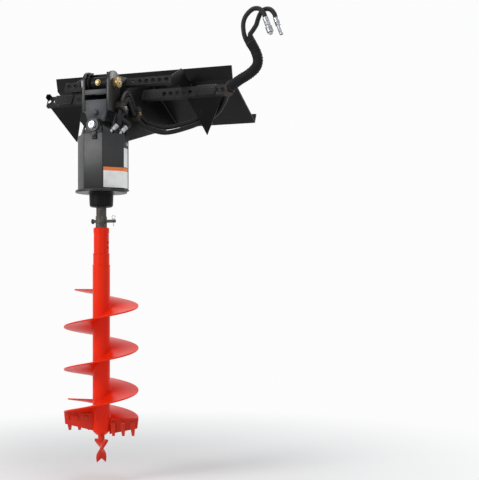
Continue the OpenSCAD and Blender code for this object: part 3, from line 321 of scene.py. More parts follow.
class Bench:
    """Modelling moves, each made with the operators that a hand would use."""

    smooth: float = 32.0
    merged: float = 0.00002

    @staticmethod
    def clear() -> None:
        """Leave edit mode and deselect everything."""
        if bpy.context.object and bpy.context.object.mode != "OBJECT":
            bpy.ops.object.mode_set(mode="OBJECT")
        bpy.ops.object.select_all(action="DESELECT")

    @staticmethod
    def pick(*pieces: Piece) -> None:
        """Select these pieces alone, the first one active."""
        Bench.clear()
        for piece in pieces:
            piece.select_set(True)
        bpy.context.view_layer.objects.active = pieces[0]

    @staticmethod
    def settle(name: str) -> Piece:
        """Name the active piece, write its place into its mesh and return it."""
        piece = bpy.context.object
        piece.name = piece.data.name = name
        return Bench.place(piece, Matrix.Identity(4))

    @staticmethod
    def place(piece: Piece, at: Matrix) -> Piece:
        """Move a piece by a matrix, write the move into its mesh and return it."""
        piece.matrix_world = at @ piece.matrix_world
        Bench.pick(piece)
        bpy.ops.object.transform_apply(location=True, rotation=True, scale=True)
        return piece

    @staticmethod
    def modified(piece: Piece, kind: str, **settings: float | str | bool) -> Piece:
        """Apply a modifier to a piece.

        Args:
            piece: The piece.
            kind: The modifier's type.
            settings: The modifier's own settings.

        Returns:
            The piece.
        """
        Bench.pick(piece)
        bpy.ops.object.modifier_add(type=kind)
        modifier = piece.modifiers[-1]
        for name, value in settings.items():
            setattr(modifier, name, value)
        bpy.ops.object.modifier_apply(modifier=modifier.name)
        return piece

    @staticmethod
    def soften(piece: Piece, width: float, segments: int = 2, angle: float = smooth) -> Piece:
        """Break the sharp edges of a piece and shade it.

        Args:
            piece: The piece.
            width: Width of the broken edges; none are broken at zero.
            segments: Steps across a broken edge.
            angle: Sharpest angle between faces that stays smooth, in degrees.

        Returns:
            The piece.
        """
        limit = math.radians(angle)
        if width > 0.0:
            Bench.modified(piece, "BEVEL", width=width, segments=segments, limit_method="ANGLE",
                           angle_limit=limit)
        Bench.pick(piece)
        bpy.ops.object.shade_smooth_by_angle(angle=limit)
        return piece

    @staticmethod
    def mend(piece: Piece) -> None:
        """Merge doubled vertices, close open ends and turn every face outward."""
        Bench.pick(piece)
        bpy.ops.object.mode_set(mode="EDIT")
        bpy.ops.mesh.select_all(action="SELECT")
        bpy.ops.mesh.remove_doubles(threshold=Bench.merged)
        bpy.ops.mesh.fill_holes(sides=0)
        bpy.ops.mesh.normals_make_consistent(inside=False)
        bpy.ops.object.mode_set(mode="OBJECT")

    @staticmethod
    def drawn(corners: Sequence[Sequence[float]], fill: str = "NOTHING") -> Piece:
        """Draw a closed outline.

        Args:
            corners: Corners of the outline, in order.
            fill: NGON for a face, NOTHING for its edge alone.

        Returns:
            The outline, active and selected.
        """
        Bench.clear()
        bpy.ops.mesh.primitive_circle_add(vertices=len(corners), fill_type=fill)
        piece = bpy.context.object
        for vertex, corner in zip(piece.data.vertices, corners):
            vertex.co = corner
        return piece

    @staticmethod
    def extruded(piece: Piece, depth: Sequence[float]) -> Piece:
        """Extrude an outline by a vector, turn its faces outward and return it."""
        Bench.pick(piece)
        bpy.ops.object.mode_set(mode="EDIT")
        bpy.ops.mesh.select_all(action="SELECT")
        bpy.ops.mesh.extrude_region_move(TRANSFORM_OT_translate={"value": tuple(depth)})
        bpy.ops.mesh.select_all(action="SELECT")
        bpy.ops.mesh.normals_make_consistent(inside=False)
        bpy.ops.object.mode_set(mode="OBJECT")
        return piece

    @staticmethod
    def screwed(name: str, profile: Sequence[Pair], steps: int, at: Matrix,
                **settings: float | bool) -> Piece:
        """Sweep a closed profile of radius and height round an axis.

        Args:
            name: The piece's name.
            profile: Radius and height of each corner, in order.
            steps: Steps of the whole sweep.
            at: Place whose Z axis the profile is swept round.
            settings: Further settings of the screw, such as its angle.

        Returns:
            The swept piece.
        """
        piece = Bench.drawn([(radius, 0.0, height) for radius, height in profile])
        Bench.modified(piece, "SCREW", steps=steps, render_steps=steps, use_normal_calculate=True,
                       **settings)
        Bench.mend(piece)
        return Bench.place(Bench.settle(name), at)

    @staticmethod
    def box(name: str, centre: Vector, size: Sequence[float], turn: Matrix | None = None,
            edge: float = 0.0008) -> Piece:
        """Add a box of that size round a centre, turned about it."""
        Bench.clear()
        bpy.ops.mesh.primitive_cube_add(size=1.0, scale=size)
        piece = Bench.settle(name)
        Bench.place(piece, Matrix.Translation(centre) @ (turn or Matrix.Identity(4)))
        return Bench.soften(piece, edge)

    @staticmethod
    def rod(name: str, start: Vector, end: Vector, radius: float, sides: int = 32,
            edge: float = 0.0008) -> Piece:
        """Add a cylinder or prism from one point to another."""
        Bench.clear()
        axis = end - start
        bpy.ops.mesh.primitive_cone_add(
            vertices=sides, radius1=radius, radius2=radius, depth=axis.length,
            location=(start + end) / 2, rotation=axis.to_track_quat("Z", "Y").to_euler())
        return Bench.soften(Bench.settle(name), edge)

    @staticmethod
    def hexagon(name: str, start: Vector, end: Vector, across: float, edge: float) -> Piece:
        """Add a hexagonal prism of that width across its flats."""
        return Bench.rod(name, start, end, across / math.sqrt(3.0), 6, edge)

    @staticmethod
    def plate(name: str, outline: Iterable[Sequence[float]], depth: Sequence[float],
              edge: float = 0.001) -> Piece:
        """Draw a flat outline and extrude it.

        Args:
            name: The piece's name.
            outline: Corners of the outline, in order.
            depth: Vector that the outline is extruded by.
            edge: Width of the broken edges.

        Returns:
            The plate.
        """
        Bench.extruded(Bench.drawn(list(outline), "NGON"), depth)
        return Bench.soften(Bench.settle(name), edge)

    @staticmethod
    def turned(name: str, profile: Sequence[Pair], at: Matrix, steps: int = 48) -> Piece:
        """Turn a closed profile of radius and height once round the Z axis of a place."""
        piece = Bench.screwed(name, profile, steps, at, use_merge_vertices=True,
                              merge_threshold=Bench.merged)
        return Bench.soften(piece, 0.0)

    @staticmethod
    def tube(name: str, points: Sequence[Vector], radius: float, rings: int,
             swell: Sequence[float] | None = None) -> Piece:
        """Draw a line through points and give it a round section.

        Args:
            name: The piece's name.
            points: Points of the centreline.
            radius: Radius of the section.
            rings: Detail of the section.
            swell: Share of the radius at each point.

        Returns:
            The tube, as a mesh.
        """
        Bench.clear()
        bpy.ops.curve.primitive_nurbs_path_add()
        curve = bpy.context.object.data
        curve.splines.clear()
        line = curve.splines.new("POLY")
        line.points.add(len(points) - 1)
        for i, point in enumerate(points):
            line.points[i].co = (*point, 1.0)
            line.points[i].radius = swell[i] if swell else 1.0
        curve.bevel_depth, curve.bevel_resolution = radius, rings
        curve.use_fill_caps = True
        curve.twist_mode = "MINIMUM"
        bpy.ops.object.convert(target="MESH")
        return Bench.soften(Bench.settle(name), 0.0, angle=60.0)

    @staticmethod
    def joined(name: str, pieces: Sequence[Piece]) -> Piece:
        """Join pieces into one of that name, with the first one's materials first."""
        Bench.pick(*pieces)
        if len(pieces) > 1:
            bpy.ops.object.join()
        return Bench.settle(name)

    @staticmethod
    def facing(at: Vector, outward: Vector) -> Matrix:
        """Return the place at a point whose Z axis points outward."""
        return Matrix.Translation(at) @ outward.to_track_quat("Z", "Y").to_matrix().to_4x4()

    @staticmethod
    def bolt(name: str, at: Vector, outward: Vector, across: float, height: float) -> Piece:
        """Add a hexagon bolt head on its washer.

        Args:
            name: The piece's name.
            at: Centre of the washer's underside.
            outward: Direction that the head stands out in.
            across: Width across the flats.
            height: Height of washer and head together.

        Returns:
            The bolt head.
        """
        washer = Bench.rod(name, UP * 0.0, UP * height * 0.22, across * 0.66, 32, 0.0004)
        head = Bench.hexagon(name, UP * height * 0.2, UP * height, across, 0.0012)
        return Bench.place(Bench.joined(name, [washer, head]), Bench.facing(at, outward))


class Welder:
    """Lays weld beads: tubes with ripples, along lines."""

    ripple: float = 0.0045
    valley: float = 0.8
    crest: float = 1.1
    waver: float = 0.08

    def __init__(self, seed: int) -> None:
        """Start the welder's random draws from a seed."""
        self.draws = random.Random(seed)

    def bead(self, points: Sequence[Vector], radius: float) -> Piece:
        """Lay a bead along a line.

        Args:
            points: Corners of the line.
            radius: Radius of the bead.

        Returns:
            The bead.
        """
        line: list[Vector] = []
        for start, end in zip(points, points[1:]):
            count = max(2, round((end - start).length / self.ripple))
            line += [start.lerp(end, i / count) for i in range(count)]
        line.append(points[-1])
        swell = [(self.crest if i % 2 else self.valley) + self.draws.uniform(-self.waver, self.waver)
                 for i in range(len(line))]
        return Bench.tube("bead", line, radius, 1, swell)

    def beads(self, name: str, lines: Iterable[Sequence[Vector]], radius: float) -> Piece:
        """Lay several beads as one piece."""
        return Bench.joined(name, [self.bead(line, radius) for line in lines])


def ready(piece: Piece, body: Body | None, finish: Finish, slot: str, *nodes: str) -> Piece:
    """Finish a piece, let it ride on its body and hide the solids that it stands for.

    Args:
        piece: The piece.
        body: The body that carries it, or none for a piece that spans two bodies and rides on neither.
        finish: Its finish.
        slot: Not used.
        nodes: The CAD nodes that it stands for.

    Returns:
        The piece.
    """
    piece.data.materials.clear()
    piece.data.materials.append(finish.build())
    if body:
        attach(piece, body.value)
    if nodes:
        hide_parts(*nodes)
    LOG.info("%s: %s, %d faces", piece.name, body.value if body else "bends", len(piece.data.polygons))
    return piece


def arc(radius: float, start: float, sweep: float, steps: int) -> list[Pair]:
    """Return points on a circle.

    Args:
        radius: Radius of the circle.
        start: Angle of the first point, in degrees.
        sweep: Angle from the first point to the last, in degrees.
        steps: Steps between them.

    Returns:
        The points, across and up.
    """
    angles = [math.radians(start + sweep * i / steps) for i in range(steps + 1)]
    return [(radius * math.cos(angle), radius * math.sin(angle)) for angle in angles]


def curved(points: Sequence[Vector], per: int = 6) -> list[Vector]:
    """Return a smooth line through points.

    Args:
        points: The points that the line passes through.
        per: Steps between neighbouring points.

    Returns:
        The line's points.
    """
    line: list[Vector] = []
    ends = [points[0] * 2 - points[1], *points, points[-1] * 2 - points[-2]]
    for a, b, c, d in zip(ends, ends[1:], ends[2:], ends[3:]):
        for i in range(per):
            t = i / per
            line.append(((b * 2) + (c - a) * t + (a * 2 - b * 5 + c * 4 - d) * t ** 2
                         + (b * 3 - a - c * 3 + d) * t ** 3) / 2)
    return [*line, points[-1]]


def millimetres(places: Iterable[Sequence[float]]) -> list[Vector]:
    """Return places that are given in millimetres as vectors in metres."""
    return [Vector(place) / 1000.0 for place in places]


@dataclass
class HydraulicHoses:
    """The hoses, the sleeve round the pair, the elbows and the two couplers.

    Attributes:
        radius: Radius of a hose.
        rings: Detail of a hose's section.
        sleeve: Radius of the sleeve.
        gap: Distance of each hose from the middle of its clamp.
        clamp: Length of a clamp.
        boom_clamp: Centre of the boom's clamp.
        boom_lean: Lean of the hoses through it, in degrees.
        yoke_clamp: Centre of the yoke's clamp.
        yoke_lean: Lean of the hoses through it, in degrees.
        end_clamp: Centre of the clamp at the tread's end, on the upright frame.
        end_lean: Lean of the hoses through it, in degrees.
        coupler: Radius of a coupler's body.
        coupler_lean: Lean of a coupler, in degrees.
        elbows: Places of the two elbows, from the flange's underside.
        elbow_lean: Lean of the elbows from upright, in degrees.
        elbow_turn: Direction that they lean in, in degrees.
        elbow_reach: Length of an elbow past its bend.
        pressure_run: The pressure hose, from the boom's clamp to the end clamp.
        return_run: The return hose there.
        sleeve_run: Middle of the sleeve.
        pressure_loop: The pressure hose, from the sleeve to its coupler.
        return_loop: The return hose there.
        arches: The upper whips between their clamps.
    """

    radius: float = 0.0125
    rings: int = 4
    sleeve: float = 0.029
    gap: float = 0.015
    clamp: float = 0.034
    boom_clamp: Vector = field(default_factory=lambda: Vector((0.0798, -0.430, -0.120)))
    boom_lean: float = -109.0
    yoke_clamp: Vector = field(default_factory=lambda: DATUM.swing + Vector((0.0978, 0.040, -0.125)))
    yoke_lean: float = -25.0
    end_clamp: Vector = field(default_factory=lambda: Vector((0.564109, -0.1275, 0.277)))
    end_lean: float = 45.0
    coupler: float = 0.014
    coupler_lean: float = 160.0
    elbows: tuple[Vector, Vector] = field(default_factory=lambda: (
        Vector((0.062, -0.020, 0.312)), Vector((0.084, 0.040, 0.312))))
    elbow_lean: float = 45.0
    elbow_turn: float = 40.0
    elbow_reach: float = 0.038
    pressure_run: list[Vector] = field(default_factory=lambda: millimetres([
        (80, -385, -122), (105, -330, -155), (180, -275, -175), (280, -225, -150), (380, -188, -108),
        (455, -190, -68), (520, -240, -18)]))
    return_run: list[Vector] = field(default_factory=lambda: millimetres([
        (80, -395, -152), (105, -342, -185), (180, -284, -205), (280, -236, -180), (380, -197, -138),
        (455, -198, -98), (520, -252, -46)]))
    sleeve_run: list[Vector] = field(default_factory=lambda: millimetres([
        (602, -336, 21), (640, -341, 42), (680, -323, 70), (712, -306, 105), (722, -300, 145),
        (710, -300, 190), (688, -300, 230), (668, -300, 265)]))
    pressure_loop: list[Vector] = field(default_factory=lambda: millimetres([
        (654, -302, 261.6), (645, -308, 300), (646, -314, 345), (664, -317, 382), (700, -318, 410),
        (736, -318, 408), (760, -318, 382), (768, -318, 360)]))
    return_loop: list[Vector] = field(default_factory=lambda: millimetres([
        (680, -298, 276.2), (677.5, -297, 285), (694, -294, 308), (710, -290, 335), (718, -286, 365),
        (732, -284, 395), (757, -284, 413), (785, -284, 409), (806, -284, 386), (815, -284, 362)]))
    arches: list[list[Vector]] = field(default_factory=lambda: [
        millimetres([(94, -600, -52), (87, -540, -32), (81, -490, -58)]),
        millimetres([(94, -585, -76), (87, -545, -62), (81, -508, -84)])])

    def build(self) -> None:
        """Build the sleeve and the two hoses in it, then the whips and their elbows."""
        self.free_hoses(self.sleeve_and_bands())
        self.whips()
        self.hose_elbows()

    def through(self, centre: Vector, lean: float, axis: str, side: float, along: float) -> Vector:
        """Return a place on a hose's line through a clamp.

        Args:
            centre: Centre of the clamp.
            lean: Lean of the hoses, in degrees.
            axis: Axis that they lean about.
            side: Which hose, -1 or 1, or zero for the middle.
            along: Distance from the centre along the hose.

        Returns:
            The place.
        """
        return centre + Matrix.Rotation(math.radians(lean), 4, axis) @ Vector((0, side * self.gap, along))

    def on_boom(self, side: float, along: float) -> Vector:
        """Return a place on a hose's line through the boom's clamp."""
        return self.through(self.boom_clamp, self.boom_lean, "X", side, along)

    def on_yoke(self, side: float, along: float) -> Vector:
        """Return a place on a hose's line through the yoke's clamp."""
        return self.through(self.yoke_clamp, self.yoke_lean, "X", side, along)

    def on_end(self, side: float, along: float) -> Vector:
        """Return a place on a hose's line through the clamp at the tread's end."""
        return DATUM.rolled(*self.through(self.end_clamp, self.end_lean, "Y", side, along))

    def on_elbow(self, which: float, along: float) -> Vector:
        """Return a place on the line out of an elbow; a half is midway between the two."""
        lean, turn = math.radians(self.elbow_lean), math.radians(self.elbow_turn)
        out = Vector((math.sin(lean) * math.cos(turn), math.sin(lean) * math.sin(turn), math.cos(lean)))
        first, second = self.elbows
        return DATUM.flange + first.lerp(second, which) + out * (self.elbow_reach + along)

    def through_sleeve(self, start: Vector, end: Vector) -> list[Vector]:
        """Return a hose's line inside the sleeve, from one side of it round to another.

        Args:
            start: Where the hose leaves the clamp.
            end: Where the hose leaves the sleeve.

        Returns:
            Points between the two.
        """
        middle = [self.on_end(0, self.clamp), *self.sleeve_run[:-1]]
        first, last = start - self.on_end(0, self.clamp / 2), end - self.sleeve_run[-1]
        squeezed = self.gap - 0.0012
        line = []
        for i, point in enumerate(middle):
            heading = (middle[min(i + 1, len(middle) - 1)] - middle[max(i - 1, 0)]).normalized()
            aside = first.lerp(last, (i + 1) / (len(middle) + 1))
            line.append(point + (aside - heading * aside.dot(heading)).normalized() * squeezed)
        return line

    def sleeve_and_bands(self) -> list[Piece]:
        """Build the cloth sleeve with its folds, and the bands that hold its ends.

        Returns:
            The sleeve and its bands.
        """
        points = [self.on_end(0, self.clamp / 2 + SEAT), self.on_end(0, self.clamp), *self.sleeve_run]
        line = curved(points, 14)
        draws = random.Random(7)
        mean, fold, short, long = 0.93, 0.05, 1.9, 0.31
        swell = [mean + fold * math.sin(i * short) * math.sin(i * long) + draws.uniform(-0.025, 0.02)
                 for i in range(len(line))]
        sleeve = Bench.tube("bundle_sleeve", line, self.sleeve, 6, swell)
        ready(sleeve, Body.FRAME, SLEEVE_CLOTH, "sleeve_fabric", "hose_sleeve")
        bands, wide = [], 0.009
        for at, toward in ((line[10], line[11]), (line[-14], line[-13])):
            heading = (toward - at).normalized()
            bands.append(Bench.rod("band", at, at + heading * wide, self.sleeve * 0.985, 40, 0.0015))
        return [sleeve, ready(Bench.joined("sleeve_bands", bands), Body.FRAME, RUBBER, "hose_rubber")]

    def free_hoses(self, dressing: list[Piece]) -> None:
        """Build the two hoses from the boom's clamp to their couplers, with the couplers on them.

        Args:
            dressing: The sleeve and its bands.
        """
        half = self.clamp / 2
        for name, side, run, loop in (("pressure", 1, self.pressure_run, self.pressure_loop),
                                      ("return", -1, self.return_run, self.return_loop)):
            end = self.on_end(side, half)
            line = curved([self.on_boom(-side, SEAT), self.on_boom(-side, half), *run,
                           self.on_end(side, -half), end, *self.through_sleeve(end, loop[0]), *loop])
            hose = Bench.tube(f"{name}_line", line, self.radius, self.rings)
            ready(hose, Body.FRAME, RUBBER, "hose_rubber", f"{name}_hose")
            carried = self.coupler_at(name, loop[-1]) + (dressing if name == "pressure" else [])

    def coupler_at(self, name: str, end: Vector) -> list[Piece]:
        """Build the coupler at a hose's end.

        Args:
            name: Name of the hose.
            end: Where the hose ends.

        Returns:
            The coupler's pieces.
        """
        at = Matrix.Translation(end) @ Matrix.Rotation(math.radians(self.coupler_lean), 4, "Y")
        r = self.coupler
        ridge, bore, neck = r * 1.07, r * 0.5, r * 0.785
        crimp = Bench.turned(f"{name}_crimp", [
            (0, 0.0005), (r * 0.98, 0.0005), (ridge, 0.002), (ridge, 0.007), (r, 0.0085), (ridge, 0.010),
            (ridge, 0.0155), (r, 0.017), (ridge, 0.0185), (ridge, 0.0245), (r * 0.9, 0.026), (0, 0.026)], at)
        nut = Bench.place(Bench.hexagon(f"{name}_nut", UP * 0.0262, UP * 0.0444, r * 2, 0.0014), at)
        barrel = Bench.turned(f"{name}_barrel", [
            (bore, 0.044), (neck, 0.044), (neck, 0.082), (r * 0.72, 0.084), (r * 0.72, 0.0865),
            (neck, 0.0885), (neck, 0.0925), (r * 0.70, 0.0953), (bore, 0.0953)], at)
        poppet = Bench.turned(f"{name}_poppet", [
            (0, 0.06), (bore, 0.06), (bore, 0.088), (bore * 0.5, 0.0925), (0, 0.0925)], at)
        body = Bench.joined(f"{name}_coupler", [crimp, nut, barrel, poppet])
        if name == "return":
            return [ready(body, Body.FRAME, ZINC, "zinc")]
        ready(body, Body.FRAME, ZINC, "zinc", "coupler_bodies")
        return [body, self.locking_collar(at)]

    def locking_collar(self, at: Matrix) -> Piece:
        """Build the grooved collar that slides on the pressure hose's coupler."""
        outer, inner, low = self.coupler + 0.004, self.coupler - 0.00295, 0.0516
        ring = [(inner, low), (outer - 0.001, low), (outer, low + 0.001), (outer, low + 0.005)]
        cut, rise = outer - 0.0009, 0.0008
        for i in range(5):
            groove = low + 0.007 + 0.0032 * i
            ring += [(outer, groove), (cut, groove + rise), (cut, groove + 2 * rise),
                     (outer, groove + 3 * rise)]
        ring += [(outer, low + 0.031), (outer - 0.0025, low + 0.034), (inner, low + 0.034)]
        collar = Bench.turned("locking_collar", ring, at)
        return ready(collar, Body.COLLAR, ZINC, "zinc", "coupler_sleeve")

    def whips(self) -> None:
        """Build the short hoses that run across the two hinges."""
        clamp, middle = self.clamp, self.clamp * 0.6
        upper, lower = [], []
        for i, side in enumerate(SIDES):
            points = [self.on_yoke(side, SEAT), self.on_yoke(side, clamp / 2), self.on_yoke(side, clamp),
                      *self.arches[i], self.on_boom(side, -clamp), self.on_boom(side, -clamp / 2),
                      self.on_boom(side, -SEAT)]
            upper.append(Bench.tube("upper", curved(points, 8), self.radius, self.rings))
            points = [self.on_elbow(i, 0.014), self.on_elbow(i, 0.028), self.on_yoke(side, -clamp * 1.5),
                      self.on_yoke(side, -clamp / 2), self.on_yoke(side, -SEAT)]
            lower.append(Bench.tube("lower", curved(points, 10), self.radius, self.rings))
        for name, pair, first, second, start, end in (
                ("upper", upper, Body.FRAME, Body.YOKE, self.on_boom(0, -middle), self.on_yoke(0, middle)),
                ("lower", lower, Body.DRIVE, Body.YOKE, self.on_elbow(0.5, 0.026), self.on_yoke(0, -middle))):
            piece = Bench.joined(f"{name}_whip_pair", pair)
            ready(piece, None, RUBBER, "hose_rubber", f"{name}_whips")
            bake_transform(piece)

    def hose_elbows(self) -> None:
        """Build the drive's elbows: nut, swept bend, swivel nut and crimped ferrule on each."""
        ridge, groove = 0.0145, 0.0136
        crimped = [(0, 0), (self.radius, 0), (ridge, 0.001), (ridge, 0.006), (groove, 0.0072),
                   (ridge, 0.0084), (ridge, 0.0136), (groove, 0.0148), (ridge, 0.016), (ridge, 0.0215),
                   (0.0132, 0.0225), (0, 0.0225)]
        elbows = []
        for i in (0, 1):
            start = self.on_elbow(i, -self.elbow_reach)
            out = (self.on_elbow(i, 0.0) - start).normalized()
            elbows.append(Bench.rod("stem", start - UP * 0.040, start - UP * 0.014, 0.0105, 28))
            elbows.append(Bench.rod("nut", start - UP * 0.031, start - UP * 0.013, 0.0158, 6, 0.0014))
            bend = [start - UP * 0.016, start - UP * 0.007, start + out * 0.007, start + out * 0.018]
            elbows.append(Bench.tube("bend", curved(bend), 0.0098, self.rings))
            elbows.append(Bench.rod("swivel", start + out * 0.012, start + out * 0.027, 0.0162, 6, 0.0014))
            elbows.append(Bench.turned("ferrule", crimped, Bench.facing(start + out * 0.026, out)))
        ready(Bench.joined("hose_elbows", elbows), Body.DRIVE, ZINC, "zinc", "drive_fittings")

    def clamp_bolt(self, centre: Vector, outward: Vector) -> Piece:
        """Build the bolt in the outer face of a clamp."""
        return Bench.bolt("bolt", centre + outward * 0.0198, outward, 0.016, 0.0085)


@dataclass
class MountingFrame:
    """The boom, the steps and what is on them.

    Attributes:
        hoses: The hoses, whose clamps it carries.
        boom_half: Half width of the boom.
        boom_t: Thickness of the boom's side plates.
        head: Radius of the boom's head.
        foot: Half height of the boom on the hitch plate, and its distance ahead.
        hitch: Width and height of the hitch plate.
        hitch_t: Distance of the hitch plate's beads ahead of its face.
        lower: Rear edge, height and depth of the lower tread.
        upper: Rear edge, height and depth of the upper tread.
        upper_reach: Half width of the upper treads.
        hole_pitch: Spacing of the treads' holes.
        post: Place of the upright plates, sideways.
        post_half: Half their thickness.
        grip: Middle of the grip plates, sideways.
    """

    hoses: HydraulicHoses
    boom_half: float = 0.060
    boom_t: float = 0.012
    head: float = 0.050
    foot: Pair = (0.1985, 0.0103)
    hitch: Pair = (1.076, 0.417)
    hitch_t: float = 0.0108
    lower: Colour = (0.095, 0.277, 0.065)
    upper: Colour = (0.160, 0.470, 0.048)
    upper_reach: float = 0.313
    hole_pitch: float = 0.038
    post: float = 0.284
    post_half: float = 0.004
    grip: float = 0.430

    def build(self) -> None:
        """Build every piece of the frame."""
        self.boom_sides()
        self.welds()
        self.rims()
        self.grips()
        self.fasteners()

    def outline(self) -> list[Pair]:
        """Return the boom's side as distances ahead and up."""
        half, ahead = self.foot
        nose = [(DATUM.pin_ahead + x, DATUM.pin_up + y) for x, y in arc(self.head, 145, -139, 16)]
        return [(ahead, half), *nose, (0.317, 0.418), (0.475, 0.343), (ahead, -half)]

    def boom_sides(self) -> None:
        """Build the boom's two side plates with their pointed ears."""
        ear = [(DATUM.pin_ahead + x, DATUM.pin_up + y)
               for x, y in ((-0.030, 0.055), (0.002, 0.030), (-0.062, 0.012))]
        for name, x in (("left", self.boom_half - self.boom_t), ("right", -self.boom_half)):
            plates = [Bench.plate("side", [DATUM.rolled(x, -ahead, up) for ahead, up in corners],
                                  (self.boom_t, 0, 0), 0.0012)
                      for corners in (self.outline(), ear)]
            ready(Bench.joined(f"boom_plate_{name}", plates), Body.FRAME, FRAME_BLACK, "frame_black",
                  f"boom_side_{name}")

    def welds(self) -> None:
        """Lay the beads that hold the boom, the posts and the treads."""
        inside, outline = self.boom_half - self.boom_t, self.outline()
        short, margin, raised = 0.06, 0.012, 0.0004
        lines = []
        for first, last in ((0, 1), (-1, -2), (-2, -3)):
            for side in SIDES:
                start, end = (DATUM.rolled(side * inside, -ahead, up)
                              for ahead, up in (outline[first], outline[last]))
                lines.append((start.lerp(end, short), start.lerp(end, 1 - short)))
        half_h = self.hitch[1] / 2 - margin
        rear, up, _ = self.upper
        foot = up - 0.0215
        for side in SIDES:
            for x in (side * self.boom_half, side * self.post + self.post_half):
                lines.append([DATUM.rolled(x, -self.hitch_t, z) for z in (-half_h, half_h)])
            for x in (self.post + self.post_half, self.post - self.post_half):
                lines.append([DATUM.rolled(side * x, -rear - y, foot) for y in (0.006, 0.042)])
            for behind, high, deep in (self.lower, self.upper):
                x = side * (self.boom_half + 0.001)
                lines.append([DATUM.rolled(x, -behind - y, high + raised) for y in (0.002, deep - 0.002)])
        beads = Welder(3).beads("frame_welds", lines, 0.0035)
        ready(beads, Body.FRAME, WELD_BLACK, "frame_black")

    def rims(self) -> None:
        """Build the raised rims round the treads' drain holes."""
        rims = []
        pitch = self.hole_pitch
        low = [0.375 - pitch * (i + 1) for i in range(5)] + [0.5245, 0.4865]
        high = [self.upper_reach - pitch * (i + 1) + 0.011 for i in range(6)]
        for (rear, up, depth), places in ((self.lower, low), (self.upper, high)):
            hole = min(0.011, depth / 2 - 0.008)
            for x in places:
                for side in SIDES:
                    Bench.clear()
                    bpy.ops.mesh.primitive_torus_add(major_radius=hole + 0.0018, minor_radius=0.0022,
                                                     major_segments=28, minor_segments=8)
                    at = DATUM.rolled(side * x, -rear - depth / 2, up)
                    rims.append(Bench.place(Bench.settle("rim"), Bench.facing(at, DATUM.rolled(0, 0, 1))))
        rims = Bench.soften(Bench.joined("tread_rims", rims), 0.0, angle=60.0)
        ready(rims, Body.FRAME, TREAD_GREY, "tread_grey")

    def grips(self) -> None:
        """Build the lower treads' grip plates with their slanted cleats, and the hook at one end."""
        rear, up, depth = self.lower
        turn = DATUM.turn
        slant = math.radians(35)
        grips = []
        for side in SIDES:
            x = side * self.grip
            at = DATUM.rolled(x, -rear - depth / 2, up + 0.0043)
            grips.append(Bench.box("grip", at, (0.110, depth, 0.008), turn, 0.0012))
            for i in range(8):
                lean = turn @ Matrix.Rotation(slant if i % 2 else -slant, 4, "Z")
                for j in range(4):
                    at = DATUM.rolled(x - 0.046 + 0.0131 * i, -rear - 0.0105 - 0.0147 * j, up + 0.0085)
                    grips.append(Bench.box("cleat", at, (0.010, 0.003, 0.0022), lean, 0.0006))
        middle = up + SEAT + 0.013
        for x, y, size in ((-0.526, 0.002, (0.024, 0.004, 0.026)), (-0.536, 0.014, (0.004, 0.020, 0.026))):
            grips.append(Bench.box("hook", DATUM.rolled(x, -rear - y, middle), size, turn))
        ready(Bench.joined("tread_grips", grips), Body.FRAME, TREAD_GREY, "tread_grey", "tread_blocks")

    def fasteners(self) -> None:
        """Build the bolts of the frame's clamps and the bolt that locks the pivot tube."""
        outward = math.radians(90 + self.hoses.end_lean)
        end_out = DATUM.rolled(math.sin(outward), 0, math.cos(outward))
        bolts = [self.hoses.clamp_bolt(self.hoses.boom_clamp, OUT),
                 self.hoses.clamp_bolt(DATUM.rolled(*self.hoses.end_clamp), end_out),
                 Bench.bolt("bolt", DATUM.swing + AHEAD * 0.0363, AHEAD, 0.024, 0.0095)]
        ready(Bench.joined("frame_bolt_heads", bolts), Body.FRAME, YELLOW_ZINC, "yellow_zinc", "frame_bolts")


